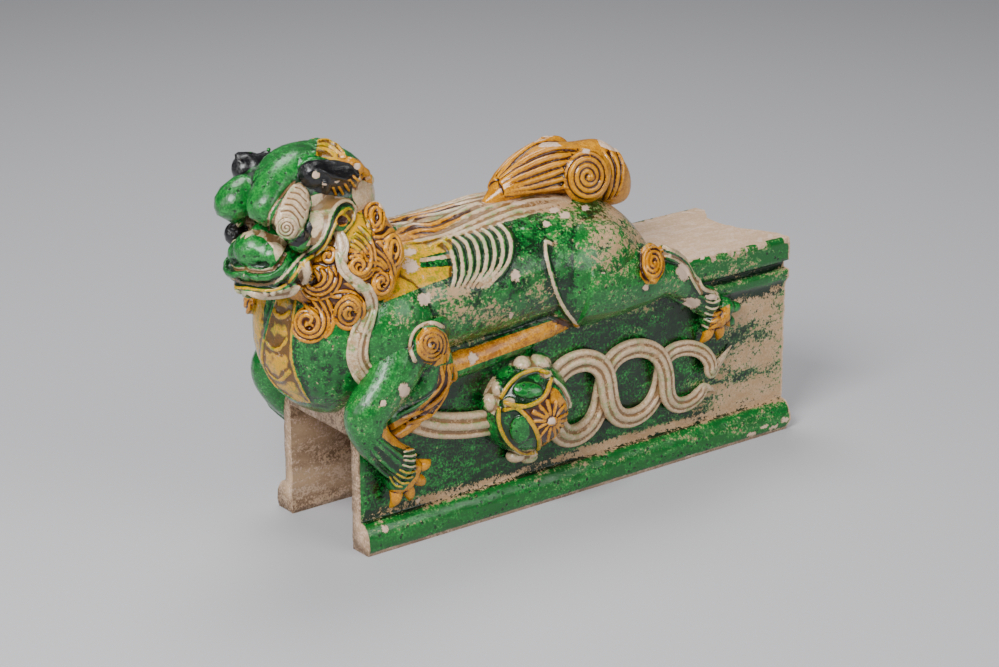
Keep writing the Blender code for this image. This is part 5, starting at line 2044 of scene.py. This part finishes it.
@dataclass
class BrocadeBall(WallPiece):
    """The ball in relief on each wall: two panels of petals and the bands between them."""

    centre: Place = (-0.067, 0.058, 0.092)
    radii: Place = (0.041, 0.036, 0.0405)
    lower_knots: tuple = ((-0.076, 0.061, 0.049), (-0.063, 0.061, 0.045))
    name: str = "brocade_balls"
    triangles: int = 72000
    finish: Finish = Finish("ball_glaze", mottle=1.2, wear=-0.20, coat=0.3)
    flower: Pixel = (552, 421)
    petals: int = 14
    petal_reach: float = 21.0
    bands: tuple = (
        ((501, 398), (508, 386), (520, 375), (535, 370), (548, 373)), ((505, 402), (514, 405), (527, 406),
        (540, 400), (547, 391), (551, 379)), ((504, 410), (516, 408), (527, 417), (535, 429), (539, 441),
        (538, 452)), ((499, 408), (499, 422), (504, 436), (513, 447), (523, 453), (533, 453)), ((553, 379),
        (561, 386), (567, 396), (570, 408)), ((572, 418), (566, 434), (554, 446), (541, 452)),
    )
    knots: tuple = (
        ((522, 364), (9, 6), 0.006), ((541, 361), (10, 5), 0.006), ((489, 402), (6, 9), 0.006), ((498, 388),
        (6, 8), 0.006), ((573, 409), (4, 6), 0.004), ((509, 403), (6.5, 6), 0.004), ((546, 374), (6, 4.5),
        0.004), ((530, 453), (8, 4), 0.004), ((528, 390), (15, 8), 0.003), ((520, 430), (10, 14), 0.003),
    )
    flower_outline: Path = (
        (534, 407), (543, 399), (550, 386), (558, 390), (566, 402), (569, 418), (564, 432), (553, 443),
        (541, 447), (540, 434), (533, 421), (522, 411),
    )
    cream_spots: tuple = (
        ((531, 362), (21, 7.5)), ((492, 395), (8.5, 18)), ((520, 459), (20, 9)), ((573, 409), (5, 7)),
        ((546, 374), (6, 4)), ((509, 403), (6, 5.5)), ((531, 453), (8, 3.6)),
    )

    def model(self, clay: Clay) -> None:
        """Presses the ball and its knots together and lays the bands and petals.

        Args:
            clay: the clay that takes them.
        """
        clay.ball(self.centre, self.radii, Side.BOTH)
        for knot in self.lower_knots:
            clay.ball(knot, (0.0090, 0.0075, 0.0060), Side.BOTH)
        clay.press()
        clay.domes(self.knots)
        clay.press()
        clay.lay(self.bands, 0.0023, 0.3, ends=(0.8, 0.8))
        for k in range(self.petals):
            angle = 2 * math.pi * k / self.petals
            way = (math.cos(angle), math.sin(angle))
            near, far = ([c + r * w for c, w in zip(self.flower, way)] for r in (6, self.petal_reach))
            middle = ((near[0] + far[0]) / 2, (near[1] + far[1]) / 2)
            clay.cord((near, middle, far), 0.0014, 0.2, ends=(0.5, 0.9))
        clay.dome(self.flower, (5, 4.6), 0.0035)

    def paint(self, skin: Skin) -> None:
        """Glazes the ball: green panels, an amber flower, cream knots and bands.

        Args:
            skin: the balls' skin.
        """
        skin.zone(Mask.AMBER, self.flower_outline, 1.2)
        for k, line in enumerate(self.bands):
            skin.stroke(Mask.YELLOW if k < 4 else Mask.CREAM, line, 4.0, 1.5)
        skin.spots(Mask.CREAM, self.cream_spots)
        skin.spots(Mask.CHIP, ((self.flower, (4, 3.8)),))


@dataclass
class Ribbons(WallPiece):
    """The woven ribbon in relief on each wall."""

    depth: float = 0.0590
    half_width: float = 0.0098
    flatness: float = 0.62
    nodes_x: tuple = (-0.038, 0.021, 0.086, 0.138)
    nodes_z: tuple = (0.082, 0.085, 0.08, 0.07)
    heights: tuple = (0.033, 0.033, 0.03, 0.022)
    roundness: float = 0.007
    lift: float = 0.004
    tip_high: tuple = ((0.15, 0.078), (0.165, 0.091))
    tip_low: tuple = ((0.134, 0.059), (0.148, 0.052))
    left: tuple = ((-0.182, 0.108), (-0.158, 0.096), (-0.128, 0.088), (-0.098, 0.084))
    name: str = "ribbons"
    holds_edges: bool = False
    voxel: float = 0.00085
    triangles: int = 78000
    finish: Finish = Finish("ribbon_glaze", mottle=1.1, wear=-0.10, coat=0.2)

    def strands(self) -> list[Stations]:
        """Each strand's stations of x, depth, height and half width."""
        out = []
        nodes = range(len(self.nodes_x))
        for hand, tip, last in ((1, self.tip_high, 2.95), (-1, self.tip_low, 2.72)):
            strand = []
            for turn in np.linspace(0.12, last, 26):
                x = np.interp(turn, nodes, self.nodes_x) - self.roundness * math.sin(2 * math.pi * turn)
                z = np.interp(turn, nodes, self.nodes_z)
                z += hand * np.interp(turn, nodes, self.heights) * math.sin(math.pi * turn)
                rise = -hand * self.lift * math.cos(math.pi * turn)
                strand.append((x, self.depth + rise, z, self.half_width * (1.08 - 0.14 * turn)))
            end = strand[-1][3]
            strand += [(x, self.depth - 0.001, z, end * share) for (x, z), share in zip(tip, (0.62, 0.14))]
            out.append(strand)
        out.append([(x, self.depth, z, self.half_width * 1.15) for x, z in self.left])
        return out

    def model(self, clay: Clay) -> None:
        """Lays each strand flat with its three ridges.

        Args:
            clay: the clay that takes them.
        """
        for strand in self.strands():
            flat = [(x, y - 0.0012, z, r) for x, y, z, r in strand]
            clay.limb(flat, flatness=self.flatness * 0.72, steps=110)
            self.lay_ridges(clay, strand)

    def paint(self, skin: Skin) -> None:
        """Glazes the ribbons a worn cream."""
        skin.add(Mask.CREAM, np.full(len(skin.points), 0.78))
        skin.add(Mask.WORN, np.full(len(skin.points), 0.42))

    def lay_ridges(self, clay: Clay, strand: Stations) -> None:
        """Lays the raised lines that run along a strand.

        Args:
            clay: the clay of the ribbons.
            strand: the strand's stations.
        """
        rows = curve_through(strand, 120)
        along = np.gradient(rows[:, (0, 2)], axis=0)
        along /= np.linalg.norm(along, axis=1)[:, None]
        for share, thick in ((-0.72, 0.29), (0.0, 0.34), (0.72, 0.29)):
            place = rows.copy()
            place[:, 0] += -along[:, 1] * share * rows[:, 3]
            place[:, 2] += along[:, 0] * share * rows[:, 3]
            place[:, 1] += self.flatness * rows[:, 3] * (0.55 - 0.42 * abs(share) ** 2) - 0.0012
            place[:, 3] = rows[:, 3] * thick
            clay.cords += [place * (1, sign, 1, 1) for sign in (-1, 1)]


@dataclass
class ChestRibbon(Piece):
    """The ribbon that hangs from the mouth down the front shoulder, on the near side alone."""

    middle: Path = (
        (335, 231), (341, 241), (342, 252), (341, 261), (346, 271), (355, 279), (364, 288), (370, 298),
        (369, 311), (362, 326), (358, 340), (357, 355), (360, 369), (369, 380), (386, 387),
    )
    half_widths: tuple = (4, 6, 5.5, 4.5, 4.5, 4.5, 5, 6.5, 8.5, 10, 10, 9.5, 9, 8.5, 7)
    left_edge: Path = (
        (331, 234), (336, 247), (337.5, 260), (341, 271), (349, 280), (357, 287), (362, 296), (363, 307),
        (359, 319), (353, 331), (349, 344), (348, 358), (352, 371), (360, 383), (370, 391), (383, 395),
    )
    right_edge: Path = (
        (338, 227), (345, 237), (347, 247), (345, 257), (349, 267), (358, 275), (367, 284), (374, 295),
        (376, 306), (373, 320), (369, 334), (366, 348), (367, 360), (375, 370), (389, 380),
    )
    fold: Path = (
        (371, 300), (372, 311), (367, 326), (362, 340), (360, 355), (364, 368), (374, 378), (388, 385),
    )
    name: str = "chest_ribbon"
    on_trunk: bool = True
    voxel: float = 0.0007
    finish: Finish = Finish("chest_ribbon_glaze", mottle=1.1, wear=-0.25, bump=0.4)

    def model(self, clay: Clay) -> None:
        """Lays the band over the mane and the shoulder, then its edges and its fold.

        Args:
            clay: the clay that takes them.
        """
        clay.ball(*Mane.ground)
        clay.press()
        clay.shape.clear()
        clay.band(self.middle, self.half_widths, 0.0026, 0.0022)
        clay.press()
        clay.lay((self.left_edge, self.right_edge), 0.0017, 0.3, side=Side.NEAR)
        clay.cord(self.fold, 0.0013, 0.2, Side.NEAR)

    def paint(self, skin: Skin) -> None:
        """Glazes the ribbon cream."""
        skin.add(Mask.CREAM, np.ones(len(skin.points)))


def main() -> None:
    """Builds the pieces in order, then the camera, floor and lights."""
    logging.basicConfig(level=logging.INFO, format="%(name)s %(message)s")
    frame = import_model()
    solid_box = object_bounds()
    LOG.info("the frame has %d node", len(frame["nodes"]))
    tile, trunk = RidgeTile(), Trunk()
    offset = (solid_box[1][0] - tile.length / 2, 0.0, 0.0)
    view = PhotoView()
    view.camera(offset)
    shop = Workshop(view, CordTree(), LeadGlaze(GlazeColours()), offset)
    ground = Clay(shop)
    trunk.forms(ground)
    tile.build(shop)
    front, hind = front_legs(), hind_legs()
    for piece in (trunk, Head(), Tail(), BrocadeBall(), Ribbons(), Mane(), front, hind, ChestRibbon()):
        piece.build(shop, ground)
    ground.shape.free()
    Studio().build(offset)


@dataclass
class Studio:
    """A plain pale floor and soft lights."""

    floor_size: float = 9.0
    floor_colour: tuple = (0.5, 0.5, 0.52, 1.0)
    world_colour: tuple = (0.36, 0.36, 0.39, 1.0)
    world_strength: float = 0.30
    lights: tuple = (
        ('key', (-1.3, -0.7, 1.55), 0.85, 50.0), ('front', (0.6, -2.0, 1.3), 1.5, 25.0),
        ('top', (0.3, 0.7, 1.8), 0.9, 20.0), ('side', (-2.0, 0.3, 0.7), 0.8, 7.0),
    )

    def build(self, offset: Place) -> None:
        """Makes the floor, the lights and the world.

        Args:
            offset: from the tile's own origin to the frame's.
        """
        half = self.floor_size / 2
        mesh = bpy.data.meshes.new("floor")
        corners = [(-half, -half, 0), (half, -half, 0), (half, half, 0), (-half, half, 0)]
        mesh.from_pydata(corners, [], [(0, 1, 2, 3)])
        floor = bpy.data.objects.new("floor", mesh)
        paper = bpy.data.materials.new("backdrop_paper")
        paper.use_nodes = True
        shader = paper.node_tree.nodes["Principled BSDF"]
        shader.inputs["Base Color"].default_value = self.floor_colour
        shader.inputs["Roughness"].default_value = 0.85
        mesh.materials.append(paper)
        bpy.context.scene.collection.objects.link(floor)
        floor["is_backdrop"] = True
        aim = Vector((offset[0] - 0.05, 0.0, 0.15))
        for name, place, size, power in self.lights:
            lamp = bpy.data.lights.new(name, "AREA")
            lamp.shape = "SQUARE"
            lamp.size = size
            lamp.energy = power
            holder = bpy.data.objects.new(name, lamp)
            holder.location = place
            holder.rotation_euler = (aim - Vector(place)).to_track_quat("-Z", "Y").to_euler()
            bpy.context.scene.collection.objects.link(holder)
        world = bpy.data.worlds.new("studio")
        world.use_nodes = True
        background = world.node_tree.nodes["Background"]
        background.inputs["Color"].default_value = self.world_colour
        background.inputs["Strength"].default_value = self.world_strength
        bpy.context.scene.world = world


if __name__ == "__main__":
    main()
